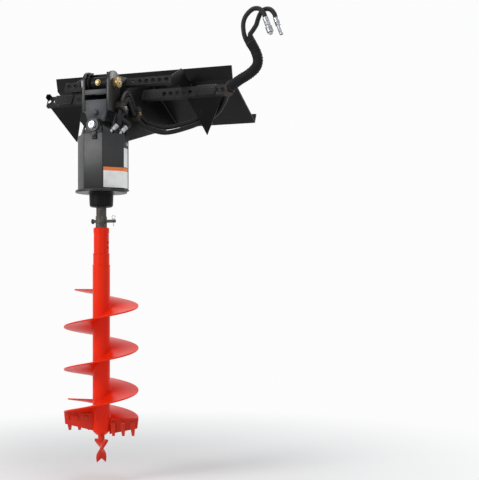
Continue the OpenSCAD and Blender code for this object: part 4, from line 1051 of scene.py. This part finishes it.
@dataclass
class Yoke:
    """The yoke between the boom and the drive.

    Attributes:
        hoses: The hoses, whose clamp it carries.
        half: Half of the yoke's width.
        side_t: Thickness of a side plate.
        top: Radius of the rounded top.
        drop: Length of the sides below the swing pin.
        rear: Reach of the sides' feet behind the pin.
        web: Thickness of the cross plates.
        web_top: Top of the cross plates below the pin.
        web_foot: Half width of their feet, and how far these lie below the pin.
        boss: Radius at which the cross plates meet the lower boss.
    """

    hoses: HydraulicHoses
    half: float = 0.078
    side_t: float = 0.016
    top: float = 0.062
    drop: float = 0.150
    rear: float = 0.050
    web: float = 0.012
    web_top: float = 0.092
    web_foot: Pair = (0.044, 0.205)
    boss: float = 0.0381

    def build(self) -> None:
        """Build every piece of the yoke."""
        self.sides()
        self.webs()
        self.welds()
        self.pin()
        self.fasteners()

    def sides(self) -> None:
        """Build the two side plates."""
        corners = [*arc(self.top, 0, 180, 28), (-self.top, -self.drop), (self.rear, -self.drop),
                   (self.top, -0.040)]
        for name, x in (("left", self.half - self.side_t), ("right", -self.half)):
            plate = Bench.plate(f"yoke_plate_{name}", [DATUM.swing + Vector((x, y, z)) for y, z in corners],
                                (self.side_t, 0, 0), 0.0016)
            ready(plate, Body.YOKE, DRIVE_BLACK, "drive_black", f"yoke_side_{name}")

    def webs(self) -> None:
        """Build the cross bar and the two tapered cross plates."""
        wide = self.half - self.side_t - 0.0002
        foot, low = self.web_foot
        seat = [(x, z - DATUM.pin_to_pin) for x, z in arc(self.boss, 31.7, 116.6, 20)]
        taper = [(-wide, -self.web_top), (wide, -self.web_top), (wide, -self.drop), (foot, -low), *seat,
                 (-foot, -low), (-wide, -self.drop)]
        pieces = [Bench.plate("web", [DATUM.swing + Vector((x, y, z)) for x, z in taper],
                              (0, self.web, 0), 0.0012)
                  for y in (-self.top, self.rear - self.web)]
        pieces.append(Bench.box("bar", DATUM.swing + Vector((0, -0.051, -0.0525)), (2 * wide, 0.022, 0.025)))
        ready(Bench.joined("yoke_webs", pieces), Body.YOKE, YOKE_GREY, "yoke_grey", "yoke_plates")

    def welds(self) -> None:
        """Lay the beads where the cross plates meet the sides and the lower boss."""
        inside, off, margin = self.half - self.side_t, 0.0004, 0.002
        lines = []
        for y in (-self.top - off, self.rear + off):
            for side in SIDES:
                lines.append([DATUM.swing + Vector((side * inside, y, z))
                              for z in (-self.web_top - margin, -self.drop + margin)])
            lines.append([DATUM.tilt + Vector((x, y, z)) for x, z in arc(self.boss + off, 35, 110, 24)])
        beads = Welder(5).beads("yoke_welds", lines, 0.0036)
        ready(beads, Body.YOKE, WELD_BLACK, "drive_black")

    def pin(self) -> None:
        """Build the swing pin's shaft, its chamfered head and its grease nipple."""
        at = Bench.facing(DATUM.swing + OUT * (self.half + SEAT), OUT)
        head = Bench.turned("head", [
            (0, 0), (0.027, 0), (0.027, 0.023), (0.0245, 0.0265), (0.0205, 0.0265), (0.0195, 0.0255),
            (0.0105, 0.0255), (0.0095, 0.0265), (0.0060, 0.0265), (0.0058, 0.0285), (0.0035, 0.0290),
            (0.0030, 0.0298), (0, 0.0298)], at)
        shaft = Bench.rod("shaft", DATUM.swing - OUT * (self.half + 0.024),
                          DATUM.swing + OUT * (self.half + 0.001), 0.022, 48, 0.0015)
        ready(Bench.joined("swing_pin_turned", [head, shaft]), Body.YOKE, YELLOW_ZINC, "yellow_zinc",
              "swing_pin")

    def fasteners(self) -> None:
        """Build the pin's nut and its collar, the clamp's bolt and the front bolt."""
        seat, collar = self.half + SEAT, 0.003
        ring = Bench.turned("collar", [(0.0222, 0.0), (0.0325, 0.0), (0.0325, collar), (0.0222, collar)],
                            Bench.facing(DATUM.swing - OUT * seat, -OUT))
        nut = Bench.hexagon("nut", DATUM.swing - OUT * (seat + collar),
                            DATUM.swing - OUT * (seat + collar + 0.017), 0.062, 0.0022)
        fasteners = [ring, nut, self.hoses.clamp_bolt(self.hoses.yoke_clamp, OUT)]
        ready(Bench.joined("yoke_fastener_set", fasteners), Body.YOKE, ZINC, "zinc", "yoke_fasteners")
        at = DATUM.swing + AHEAD * (self.top + SEAT) - UP * 0.158
        ready(Bench.bolt("yoke_front_bolt", at, AHEAD, 0.026, 0.0105), Body.YOKE, YOKE_GREY, "yoke_grey")


@dataclass
class DriveHead:
    """The drive's housing, its ear, flange and plates.

    Attributes:
        half: Half width of the housing.
        face: Half width of its front and rear faces.
        front: Distance from the output axis to the front face.
        rear: Distance from the output axis to the rear face.
        foot: Height of the walls' foot above the flange's underside.
        height: Height of the walls' top there.
        wall: Thickness of the walls.
        bend: Radius of the folded corners.
        eye: Height of the tilt pin above the flange's underside.
        label: How far the blank plates lie out from the walls.
    """

    half: float = 0.1315
    face: float = 0.0535
    front: float = 0.088
    rear: float = 0.128
    foot: float = 0.0123
    height: float = 0.297
    wall: float = 0.008
    bend: float = 0.010
    eye: float = DATUM.pin_to_flange
    label: float = 0.0004

    def build(self) -> None:
        """Build every piece of the drive head."""
        self.shell()
        self.front_ear()
        self.flange()
        self.plates()
        self.small_parts()
        self.welds()

    def corners(self, grow: float) -> list[Vector]:
        """Return the housing's eight corners, moved outward by a distance."""
        face = self.face + grow * math.tan(math.radians(22.5))
        half, front, rear = self.half + grow, self.front + grow, self.rear + grow
        slant = half - face
        return [Vector(corner) for corner in (
            (-face, -front), (face, -front), (half, slant - front), (half, rear - slant),
            (face, rear), (-face, rear), (-half, rear - slant), (-half, slant - front))]

    def rounded(self, radius: float, grow: float = 0.0, steps: int = 4) -> list[Vector]:
        """Return the outline with its corners bent to a radius.

        Args:
            radius: Radius of the bends.
            grow: Distance that the outline is moved outward.
            steps: Steps round each bend.

        Returns:
            Corners of the rounded outline.
        """
        corners = self.corners(grow)
        half_fold = math.radians(22.5)
        cut = radius * math.tan(half_fold)
        outline = []
        for i, corner in enumerate(corners):
            back = (corners[i - 1] - corner).normalized()
            ahead = (corners[(i + 1) % len(corners)] - corner).normalized()
            start, end = corner + back * cut, corner + ahead * cut
            centre = corner + (back + ahead).normalized() * (radius / math.cos(half_fold))
            for k in range(steps + 1):
                spoke = (start - centre).lerp(end - centre, k / steps).normalized() * radius
                outline.append(centre + spoke)
        return outline

    def raised(self, x: float, y: float, z: float) -> Vector:
        """Return a place that is given from the output axis at the flange's underside."""
        return DATUM.flange + Vector((x, y, z))

    def shell(self) -> None:
        """Build the folded eight sided shell."""
        shell = Bench.drawn([self.raised(x, y, self.foot) for x, y in self.rounded(self.bend)])
        Bench.extruded(shell, UP * (self.height - self.foot))
        Bench.modified(shell, "SOLIDIFY", thickness=self.wall, offset=-1.0)
        ready(Bench.soften(Bench.settle("housing_shell"), 0.001), Body.DRIVE, DRIVE_BLACK, "drive_black",
              "drive_housing")

    def front_ear(self) -> None:
        """Build the front ear with its ring and its two gussets."""
        flare, low = 20, 0.001
        top = [(x, self.eye + z) for x, z in arc(0.0355, flare, 180 - 2 * flare, 20)]
        outline = [(self.face - low, self.height - low), *top, (low - self.face, self.height - low)]
        ear = Bench.plate("ear", [self.raised(x, -self.front, z) for x, z in outline], (0, 0.0077, 0), 0.0012)
        ring = Bench.turned("ring", [
            (0.0192, 0), (0.034, 0), (0.034, 0.0085), (0.0325, 0.010), (0.0207, 0.010), (0.0192, 0.0085)],
            Bench.facing(self.raised(0, -self.front, self.eye), AHEAD), 56)
        pieces = [ear, ring]
        for side in SIDES:
            along, inward = Vector((side, 1, 0)).normalized(), Vector((-side, 1, 0)).normalized()
            foot = self.raised(side * self.face, -self.front, self.height)
            places = [foot + along * reach + UP * rise
                      for reach, rise in ((0.0015, -low), (0.055, -low), (0.0015, 0.0405))]
            pieces.append(Bench.plate("gusset", [place + inward * SEAT for place in places], inward * 0.0074))
        ready(Bench.joined("front_ear", pieces), Body.DRIVE, DRIVE_BLACK, "drive_black")

    def flange(self) -> None:
        """Build the round output flange."""
        bore, rim, thick, edge = 0.0702, 0.132, 0.012, 0.002
        disc = Bench.turned("flange_disc", [
            (bore, 0), (rim - edge, 0), (rim, edge), (rim, thick - edge), (rim - edge, thick), (bore, thick)],
            Matrix.Translation(DATUM.flange), 96)
        ready(disc, Body.DRIVE, DRIVE_BLACK, "drive_black", "output_flange")

    def plates(self) -> None:
        """Build the blank plates on the left chamfer and side, each with nothing written on it."""
        side = self.half + self.label
        run: list[Vector] = []
        for place in self.rounded(self.bend, self.label)[5:16]:
            apart = not run or (place - run[-1]).length > self.label
            if place.x > self.face + 0.002 and apart:
                run.append(place)
        run = [place for place in run if place.y < 0.024]
        run.append(Vector((side, 0.038)))
        self.skin("plate_field", run, 0.022, 0.107, LABEL_WHITE)
        self.skin("plate_header", run, 0.107, 0.125, LABEL_ORANGE)
        self.skin("plate_strip", [Vector((side, y)) for y in (-0.006, 0.036)], 0.128, 0.226, LABEL_WHITE)

    def skin(self, name: str, run: Sequence[Vector], low: float, high: float, finish: Finish) -> None:
        """Build a thin plate that follows the housing's surface.

        Args:
            name: The piece's name.
            run: Places along the surface, seen from above.
            low: Height of its lower edge.
            high: Height of its upper edge.
            finish: Its finish.
        """
        back = [place * 0.9975 for place in reversed(run)]
        outline = [self.raised(*place, low) for place in (*run, *back)]
        ready(Bench.plate(name, outline, UP * (high - low), 0.0), Body.DRIVE, finish, "drive_black")

    def small_parts(self) -> None:
        """Build the keeper plate, its bolt, the grease cap and the port plug."""
        x, z = 0.008, 0.2852
        keeper = Bench.box("keeper", self.raised(x, -self.front - 0.0038, z), (0.026, 0.007, 0.036))
        bolt = Bench.bolt("bolt", self.raised(x, -self.front - 0.0073, z), AHEAD, 0.016, 0.007)
        ready(Bench.joined("keeper", [keeper, bolt]), Body.DRIVE, DRIVE_BLACK, "drive_black", "keeper_plate")
        cap = Bench.turned("cap", [
            (0, 0), (0.017, 0), (0.017, 0.003), (0.0155, 0.005), (0.008, 0.006), (0.0062, 0.0058),
            (0.0052, 0.0048), (0.0032, 0.0060), (0, 0.0060)],
            Bench.facing(self.raised(0, -self.front - 0.0163, self.eye), AHEAD))
        plug = Bench.bolt("plug", self.raised(self.half + SEAT, 0.025, 0.248), OUT, 0.016, 0.005)
        ready(Bench.joined("caps_and_plugs", [cap, plug]), Body.DRIVE, ZINC, "zinc", "drive_plugs")

    def welds(self) -> None:
        """Lay the beads at the housing's foot, under its cover and round the ears."""
        under, reach, wide = 0.2893, 0.046, self.face - 0.002
        foot = [self.raised(x, y, 0.0125) for x, y in self.rounded(self.bend, 0.0008)]
        cover = [self.raised(x, y, under) for x, y in self.rounded(0.004, -self.wall - 0.0006)]
        ear = [self.raised(x, -self.front + 0.008, self.height + 0.0005) for x in (-wide, wide)]
        rear, behind = ([self.raised(x, y, under + 0.0002) for x in (-reach, reach)]
                        for y in (0.0588, 0.0712))
        ring = [self.raised(x, -self.front - 0.0002, self.eye + z) for x, z in arc(0.0343, 0, 360, 60)]
        lines = [[*foot, foot[0]], [*cover, cover[0]], ear, rear, behind, ring]
        beads = Welder(11).beads("drive_welds", lines, 0.003)
        ready(beads, Body.DRIVE, WELD_BLACK, "drive_black")


@dataclass
class Auger:
    """The flighting, the blades and their teeth, the pilot bit and the welds.

    Attributes:
        tube: Radius of the centre tube.
        reach: Radius of the flighting.
        pitch: Pitch of the flighting.
        sheet: Thickness of the flighting.
        turns: Turns of the main flight.
        top: Height of the main flight's start, from the flange.
        top_turn: Angle of the main flight's start, in degrees.
        lead_turns: Turns of the lead flight.
        lead_drop: How far the lead flight's foot lies below the main flight's.
        blade: Thickness of the cutting blades.
        stem_top: Height of the pilot's stem, from the flange.
        stem: Length of the stem.
        fishtail: Half width of the pilot's fishtail.
        fishtail_body: Its length.
        fishtail_twist: Its twist, in degrees.
        fishtail_end: Width of its foot as a share of its top.
        notch: Depth of the notch in its foot.
        notch_reach: How far up the notch bends the blade.
    """

    tube: float = 0.0445
    reach: float = 0.1905
    pitch: float = 0.217
    sheet: float = 0.007
    turns: float = 2.9
    top: float = -0.4926
    top_turn: float = 165.0
    lead_turns: float = 0.45
    lead_drop: float = 0.036
    blade: float = 0.014
    stem_top: float = -1.2403
    stem: float = 0.026
    fishtail: float = 0.038
    fishtail_body: float = 0.116
    fishtail_twist: float = -160.0
    fishtail_end: float = 0.62
    notch: float = 0.020
    notch_reach: float = 0.060

    @property
    def main_foot(self) -> Pair:
        """Height and angle of the main flight's lower end."""
        return self.top - self.pitch * self.turns - self.sheet, self.top_turn - 360 * self.turns

    @property
    def lead_foot(self) -> Pair:
        """Height and angle of the lead flight's lower end."""
        height, turn = self.main_foot
        return height - self.lead_drop, turn + 180

    @property
    def flights(self) -> tuple[tuple[str, float, float, float], ...]:
        """Name, start's height and angle, and turns of each flight."""
        height, turn = self.lead_foot
        return (("main", self.top, self.top_turn, self.turns),
                ("lead", height + self.sheet + self.pitch * self.lead_turns, turn + 360 * self.lead_turns,
                 self.lead_turns))

    def build(self) -> None:
        """Build every piece of the auger."""
        for name, top, turn, turns in self.flights:
            self.flight(name, top, turn, turns)
        self.blades()
        self.teeth()
        self.pilot()
        self.welds()
        self.rims()

    def flight(self, name: str, top: float, turn: float, turns: float) -> None:
        """Sweep a strip of flighting downward.

        Args:
            name: Name of the flight.
            top: Height of its start, from the flange.
            turn: Angle of its start, in degrees.
            turns: Number of turns.
        """
        inner, outer, low, edge = self.tube + SEAT, self.reach, -self.sheet, 0.0012
        upper = [(inner, 0.0), (0.09, 0.0), (0.14, 0.0), (outer - edge, 0.0), (outer, -edge)]
        section = [*upper, *((radius, low - height) for radius, height in reversed(upper))]
        at = Matrix.Translation(DATUM.flange + UP * top) @ Matrix.Rotation(math.radians(turn), 4, "Z")
        piece = Bench.screwed(f"{name}_flighting", section, round(64 * turns), at,
                              angle=-2 * math.pi * turns, screw_offset=-self.pitch * turns)
        ready(Bench.soften(piece, 0.0, angle=30.0), Body.AUGER, AUGER_RED, "auger_red", f"{name}_flight")

    def spoke(self, foot: Pair) -> Matrix:
        """Return the place whose X axis runs out along a blade's top edge."""
        height, turn = foot
        return Matrix.Translation(DATUM.flange + UP * (height - SEAT)) @ Matrix.Rotation(
            math.radians(turn), 4, "Z")

    def blades(self) -> None:
        """Build the two cutting blades with the bolts that hold them."""
        pieces, back = [], self.blade / 2
        for foot, height in ((self.main_foot, 0.062), (self.lead_foot, 0.050)):
            inner = self.tube + SEAT
            outline = [(inner, 0), (self.reach, 0), (self.reach * 0.97, -height * 0.9),
                       (inner, -height * 1.45)]
            plate = Bench.plate("blade", [(x, -back, z) for x, z in outline], (0, self.blade, 0), 0.0018)
            heads = [Bench.bolt("bolt", Vector((x, back, -0.022)), -AHEAD, 0.016, 0.008)
                     for x in (0.075, 0.125, 0.170)]
            pieces.append(Bench.place(Bench.joined("blade", [plate, *heads]), self.spoke(foot)))
        ready(Bench.joined("blade_plates", pieces), Body.AUGER, BLADE_RED, "blade_red", "cutting_blades")

    def teeth(self) -> None:
        """Build the wedge teeth, each with its hard tip, narrowed towards the point."""
        pieces = []
        front, half, heel, point = -self.blade / 2 - SEAT, 0.013, -0.040, 0.052
        outline = [(front, -0.024), (front, -0.0672), (front - 0.026, -0.092), (front - 0.0215, -0.070),
                   (front - 0.012, heel), (front - 0.012, -0.024)]
        slope = Matrix.Rotation(math.radians(-17), 4, "X")
        for (height, turn), lift in ((self.main_foot, 0.0), (self.lead_foot, 0.012)):
            for x in (0.062, 0.112, 0.162):
                tooth = Bench.plate("tooth", [(x - half, y, z) for y, z in outline], OUT * 2 * half, 0.0014)
                tip = Bench.box("tip", Vector((x, front - 0.0205, -0.0835)), (0.0265, 0.004, 0.017), slope,
                                0.0006)
                both = Bench.joined("tooth", [tooth, tip])
                for vertex in both.data.vertices:
                    down = max(0.0, (heel - vertex.co.z) / point)
                    vertex.co.x = x + (vertex.co.x - x) * (1.0 - 0.5 * down) + 0.004 * down
                pieces.append(Bench.place(both, self.spoke((height + lift, turn))))
        ready(Bench.joined("wedge_teeth", pieces), Body.AUGER, TOOTH_STEEL, "blade_red", "blade_teeth")

    def pilot(self) -> None:
        """Build the pilot bit: a stem, and a twisted and notched fishtail."""
        top = DATUM.flange + UP * self.stem_top
        base = top - UP * self.stem
        stem = Bench.rod("stem", top, base - UP * 0.006, 0.017, 32, 0.001)
        Bench.clear()
        bpy.ops.mesh.primitive_grid_add(x_subdivisions=4, y_subdivisions=28, size=2.0)
        tail = bpy.context.object
        for vertex in tail.data.vertices:
            vertex.co = base + self.on_fishtail(vertex.co.x, (1.0 - vertex.co.y) / 2.0)
        Bench.modified(tail, "SOLIDIFY", thickness=0.0135, offset=0.0)
        Bench.mend(tail)
        tail = Bench.soften(Bench.settle("tail"), 0.001)
        ready(Bench.joined("pilot_fishtail", [stem, tail]), Body.AUGER, BLADE_RED, "blade_red", "pilot_bit")

    def on_fishtail(self, across: float, share: float) -> Vector:
        """Return a place on the middle of the fishtail's sheet.

        Args:
            across: Place across it, from -1 to 1.
            share: Share of its length down from the top.

        Returns:
            The place, from the fishtail's top.
        """
        body = self.fishtail_body
        down = body * share
        bent = max(0.0, (down - body + self.notch_reach) / self.notch_reach)
        down -= self.notch * (1.0 - abs(across)) * bent
        wide = across * self.fishtail * (1.0 - (1.0 - self.fishtail_end) * down / body)
        angle = math.radians(self.fishtail_twist) * down / body
        return Vector((wide * math.cos(angle), wide * math.sin(angle), -down))

    def helix(self, top: float, turn: float, turns: float, radius: float) -> list[Vector]:
        """Return a line that winds down round the tube."""
        count = round(66 * turns)
        drop = self.pitch * turns / count
        return [DATUM.flange + Vector((x, y, top - drop * i))
                for i, (x, y) in enumerate(arc(radius, turn, -360 * turns, count))]

    def welds(self) -> None:
        """Lay the beads along both flights, round the tube's joints and down the blades."""
        welder, beads = Welder(17), []
        off, thick, thin = 0.0012, 0.0034, 0.0032
        for _, top, turn, turns in self.flights:
            for drop in (-off, self.sheet + off):
                beads.append(welder.bead(self.helix(top - drop, turn, turns, self.tube + off), thick))
        for radius, z in ((0.0425, -0.3716), (0.0405, -0.3139)):
            ring = [DATUM.flange + Vector((x, y, z)) for x, y in arc(radius, 0, 360, 48)]
            beads.append(welder.bead(ring, thin))
        for foot, length in ((self.main_foot, 0.088), (self.lead_foot, 0.071)):
            for side in SIDES:
                line = [self.spoke(foot) @ Vector((self.tube + 0.0008, side * (self.blade / 2 + 0.001), z))
                        for z in (-0.002, -length)]
                beads.append(welder.bead(line, thick))
        ready(Bench.joined("auger_welds", beads), Body.AUGER, AUGER_RED, "auger_red")

    def rims(self) -> None:
        """Build the rims round the collar's cross holes."""
        hole, rim, deep, high = 0.0068, 0.0088, -0.004, 0.0006
        section = [(hole, deep), (rim, deep), (rim, high), (0.0080, 2 * high), (hole, high)]
        rims = []
        for z in (-0.2537, -0.281):
            for side in SIDES:
                at = Bench.facing(DATUM.flange + Vector((side * 0.0386, 0, z)), OUT * side)
                rims.append(Bench.turned("rim", section, at, 28))
        ready(Bench.joined("collar_hole_rims", rims), Body.AUGER, AUGER_RED, "auger_red")


@dataclass
class Studio:
    """The camera, the lamps, the backdrop and the floor.

    Attributes:
        stand: Where the camera stands.
        bearing: Direction that it looks in, in degrees from +Y towards -X.
        sensor: Width of the camera's sensor, in millimetres.
        focus: Focal length, in widths of the picture.
        rise: Shift of the picture upward, in widths.
        middle: The point that the lamps face.
        lamps: Place, side and share of the power of each lamp.
        power: Power of the key lamp in watts.
        sky: Colour of the light from all round.
        ambient: Its strength.
        paper: Colour of the backdrop.
        floor: Side of the floor.
        floor_colour: Its own colour, near the part.
        floor_rough: Its roughness.
        floor_gap: Room between the part's lowest point and the floor.
        floor_fade: Where the floor's shadow starts to fade and where it has gone, from the middle.
    """

    stand: Colour = (2.446, -5.320, -1.0615)
    bearing: float = 20.0
    sensor: float = 36.0
    focus: float = 1009 / 479
    rise: float = 0.104
    middle: Colour = (0.1, -0.5, -0.6)
    lamps: dict[str, tuple[Colour, float, float]] = field(default_factory=lambda: {
        "key": ((-2.5, -4.7, 1.1), 2.2, 1.0),
        "fill": ((4.4, -3.6, 1.0), 2.4, 0.16),
        "top": ((0.4, -0.4, 3.4), 2.2, 0.5),
        "rim": ((2.6, 2.6, 1.8), 1.4, 0.45)})
    power: float = 145.0
    sky: Colour = (0.94, 0.97, 1.0)
    ambient: float = 0.42
    paper: Colour = (0.975, 0.975, 0.975)
    floor: float = 60.0
    floor_colour: Colour = (0.80, 0.80, 0.80)
    floor_rough: float = 0.9
    floor_gap: float = 0.10
    floor_fade: Pair = (0.5, 2.6)

    def camera(self) -> None:
        """Set up the camera at the photograph's angle."""
        Bench.clear()
        turn = (math.radians(90), 0, math.radians(self.bearing))
        bpy.ops.object.camera_add(location=self.stand, rotation=turn)
        camera = bpy.context.object
        camera.name = "camera"
        camera.data.sensor_width = self.sensor
        camera.data.lens = self.sensor * self.focus
        camera.data.shift_y = self.rise
        bpy.context.scene.camera = camera
        bpy.context.scene.view_settings.view_transform = "Standard"

    def lamp(self, name: str, place: Colour, size: float, share: float) -> None:
        """Add a square lamp that faces the middle.

        Args:
            name: The lamp's name.
            place: Where it hangs.
            size: Its side.
            share: Its share of the power.
        """
        Bench.clear()
        toward = (Vector(self.middle) - Vector(place)).to_track_quat("-Z", "Y").to_euler()
        bpy.ops.object.light_add(type="AREA", location=place, rotation=toward)
        lamp = bpy.context.object
        lamp.name, lamp.data.size, lamp.data.energy = name, size, self.power * share

    def build(self) -> None:
        """Build the lamps, the backdrop's light and the floor."""
        for name, settings in self.lamps.items():
            self.lamp(name, *settings)
        world = bpy.data.worlds.new("studio")
        graph = Graph(world)
        light = graph.feed(graph.nodes["Background"], {"Color": (*self.sky, 1.0), "Strength": self.ambient})
        paper = graph.add("Background", {"Color": (*self.paper, 1.0)})
        self.seen_through(graph, light.outputs[0], paper.outputs[0], graph.nodes["World Output"])
        bpy.context.scene.world = world
        Bench.clear()
        low = SOLID_BOX[0][2] - self.floor_gap
        bpy.ops.mesh.primitive_plane_add(size=self.floor, location=(0, 0, low))
        floor = Bench.settle("floor")
        floor.data.materials.append(self.floor_paper())

    @staticmethod
    def seen_through(graph: Graph, lit: Socket, shown: Socket, end: Node,
                     share: Socket | None = None) -> None:
        """Show one shader to the camera and to mirrors, and light the part with another.

        Args:
            graph: The nodes.
            lit: The shader that lights the part.
            shown: The shader that is seen.
            end: The output node.
            share: Where given, how far the second shader is shown.
        """
        path = graph.add("LightPath", {})
        seen = path.outputs["Is Camera Ray"]
        for name in ("Is Glossy Ray", "Is Transmission Ray"):
            seen = graph.add("Math", {0: seen, 1: path.outputs[name]}, operation="MAXIMUM").outputs[0]
        if share:
            seen = graph.add("Math", {0: seen, 1: share}, operation="MULTIPLY").outputs[0]
        graph.feed(end, {"Surface": graph.add("MixShader", {0: seen, 1: lit, 2: shown}).outputs[0]})

    def floor_paper(self) -> bpy.types.Material:
        """Return the floor's pale paper, which runs into the backdrop away from the part."""
        made = bpy.data.materials.new("floor_paper")
        graph = Graph(made)
        shader = graph.feed(graph.nodes["Principled BSDF"], {
            "Base Color": (*self.floor_colour, 1.0), "Roughness": self.floor_rough})
        glow = graph.add("Emission", {"Color": (*self.paper, 1.0)})
        place = graph.add("TexCoord", {}).outputs["Object"]
        flat = graph.add("VectorMath", {0: place, 1: (1.0, 1.0, 0.0)}, operation="MULTIPLY")
        away = graph.add("VectorMath", {0: flat.outputs[0]}, operation="LENGTH")
        start, end = self.floor_fade
        fade = graph.add("MapRange", {"Value": away.outputs["Value"], "From Min": start, "From Max": end},
                         interpolation_type="SMOOTHSTEP")
        self.seen_through(graph, shader.outputs[0], glow.outputs[0], graph.nodes["Material Output"],
                          fade.outputs["Result"])
        return made


KEPT = {
    FRAME_BLACK: ("hitch_plate", "boom_covers", "pivot_tube", "step_posts", "wing_left", "wing_right",
                  "bearing_housing"),
    TREAD_GREY: ("lower_tread_left", "lower_tread_right", "upper_tread_left", "upper_tread_right"),
    CLAMP_BROWN: ("frame_clamps", "yoke_clamp"),
    BRONZE: ("pivot_bushings", "tilt_bushings"),
    DRIVE_BLACK: ("yoke_boss", "top_cover", "gear_cover", "hydraulic_motor"),
    ZINC: ("hairpin_clip",),
    BARE_STEEL: ("tilt_pin", "shaft_bearings", "ring_gear", "sun_shaft", "planet_gear_1", "planet_gear_2",
                 "planet_gear_3", "planet_pins"),
    SHAFT_STEEL: ("output_shaft", "auger_hub", "retaining_pin"),
    RUBBER: ("shaft_seal",),
    AUGER_RED: ("auger_collar", "auger_tube"),
}


def dress_kept() -> None:
    """Finish the solids whose own shape stays."""
    for finish, nodes in KEPT.items():
        for node in nodes:
            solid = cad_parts[node]
            solid.data.materials.clear()
            solid.data.materials.append(finish.build())
            Bench.soften(solid, 0.0)
            LOG.info("%s keeps its solid, finished in %s", node, finish.name)


def main() -> None:
    """Build the classes in order."""
    logging.basicConfig(level=logging.INFO, format="%(name)s: %(message)s")
    studio = Studio()
    studio.camera()
    hoses = HydraulicHoses()
    for assembly in (hoses, MountingFrame(hoses), Yoke(hoses), DriveHead(), Auger()):
        assembly.build()
        LOG.info("%s is built", type(assembly).__name__)
    dress_kept()
    studio.build()


if __name__ == "__main__":
    main()
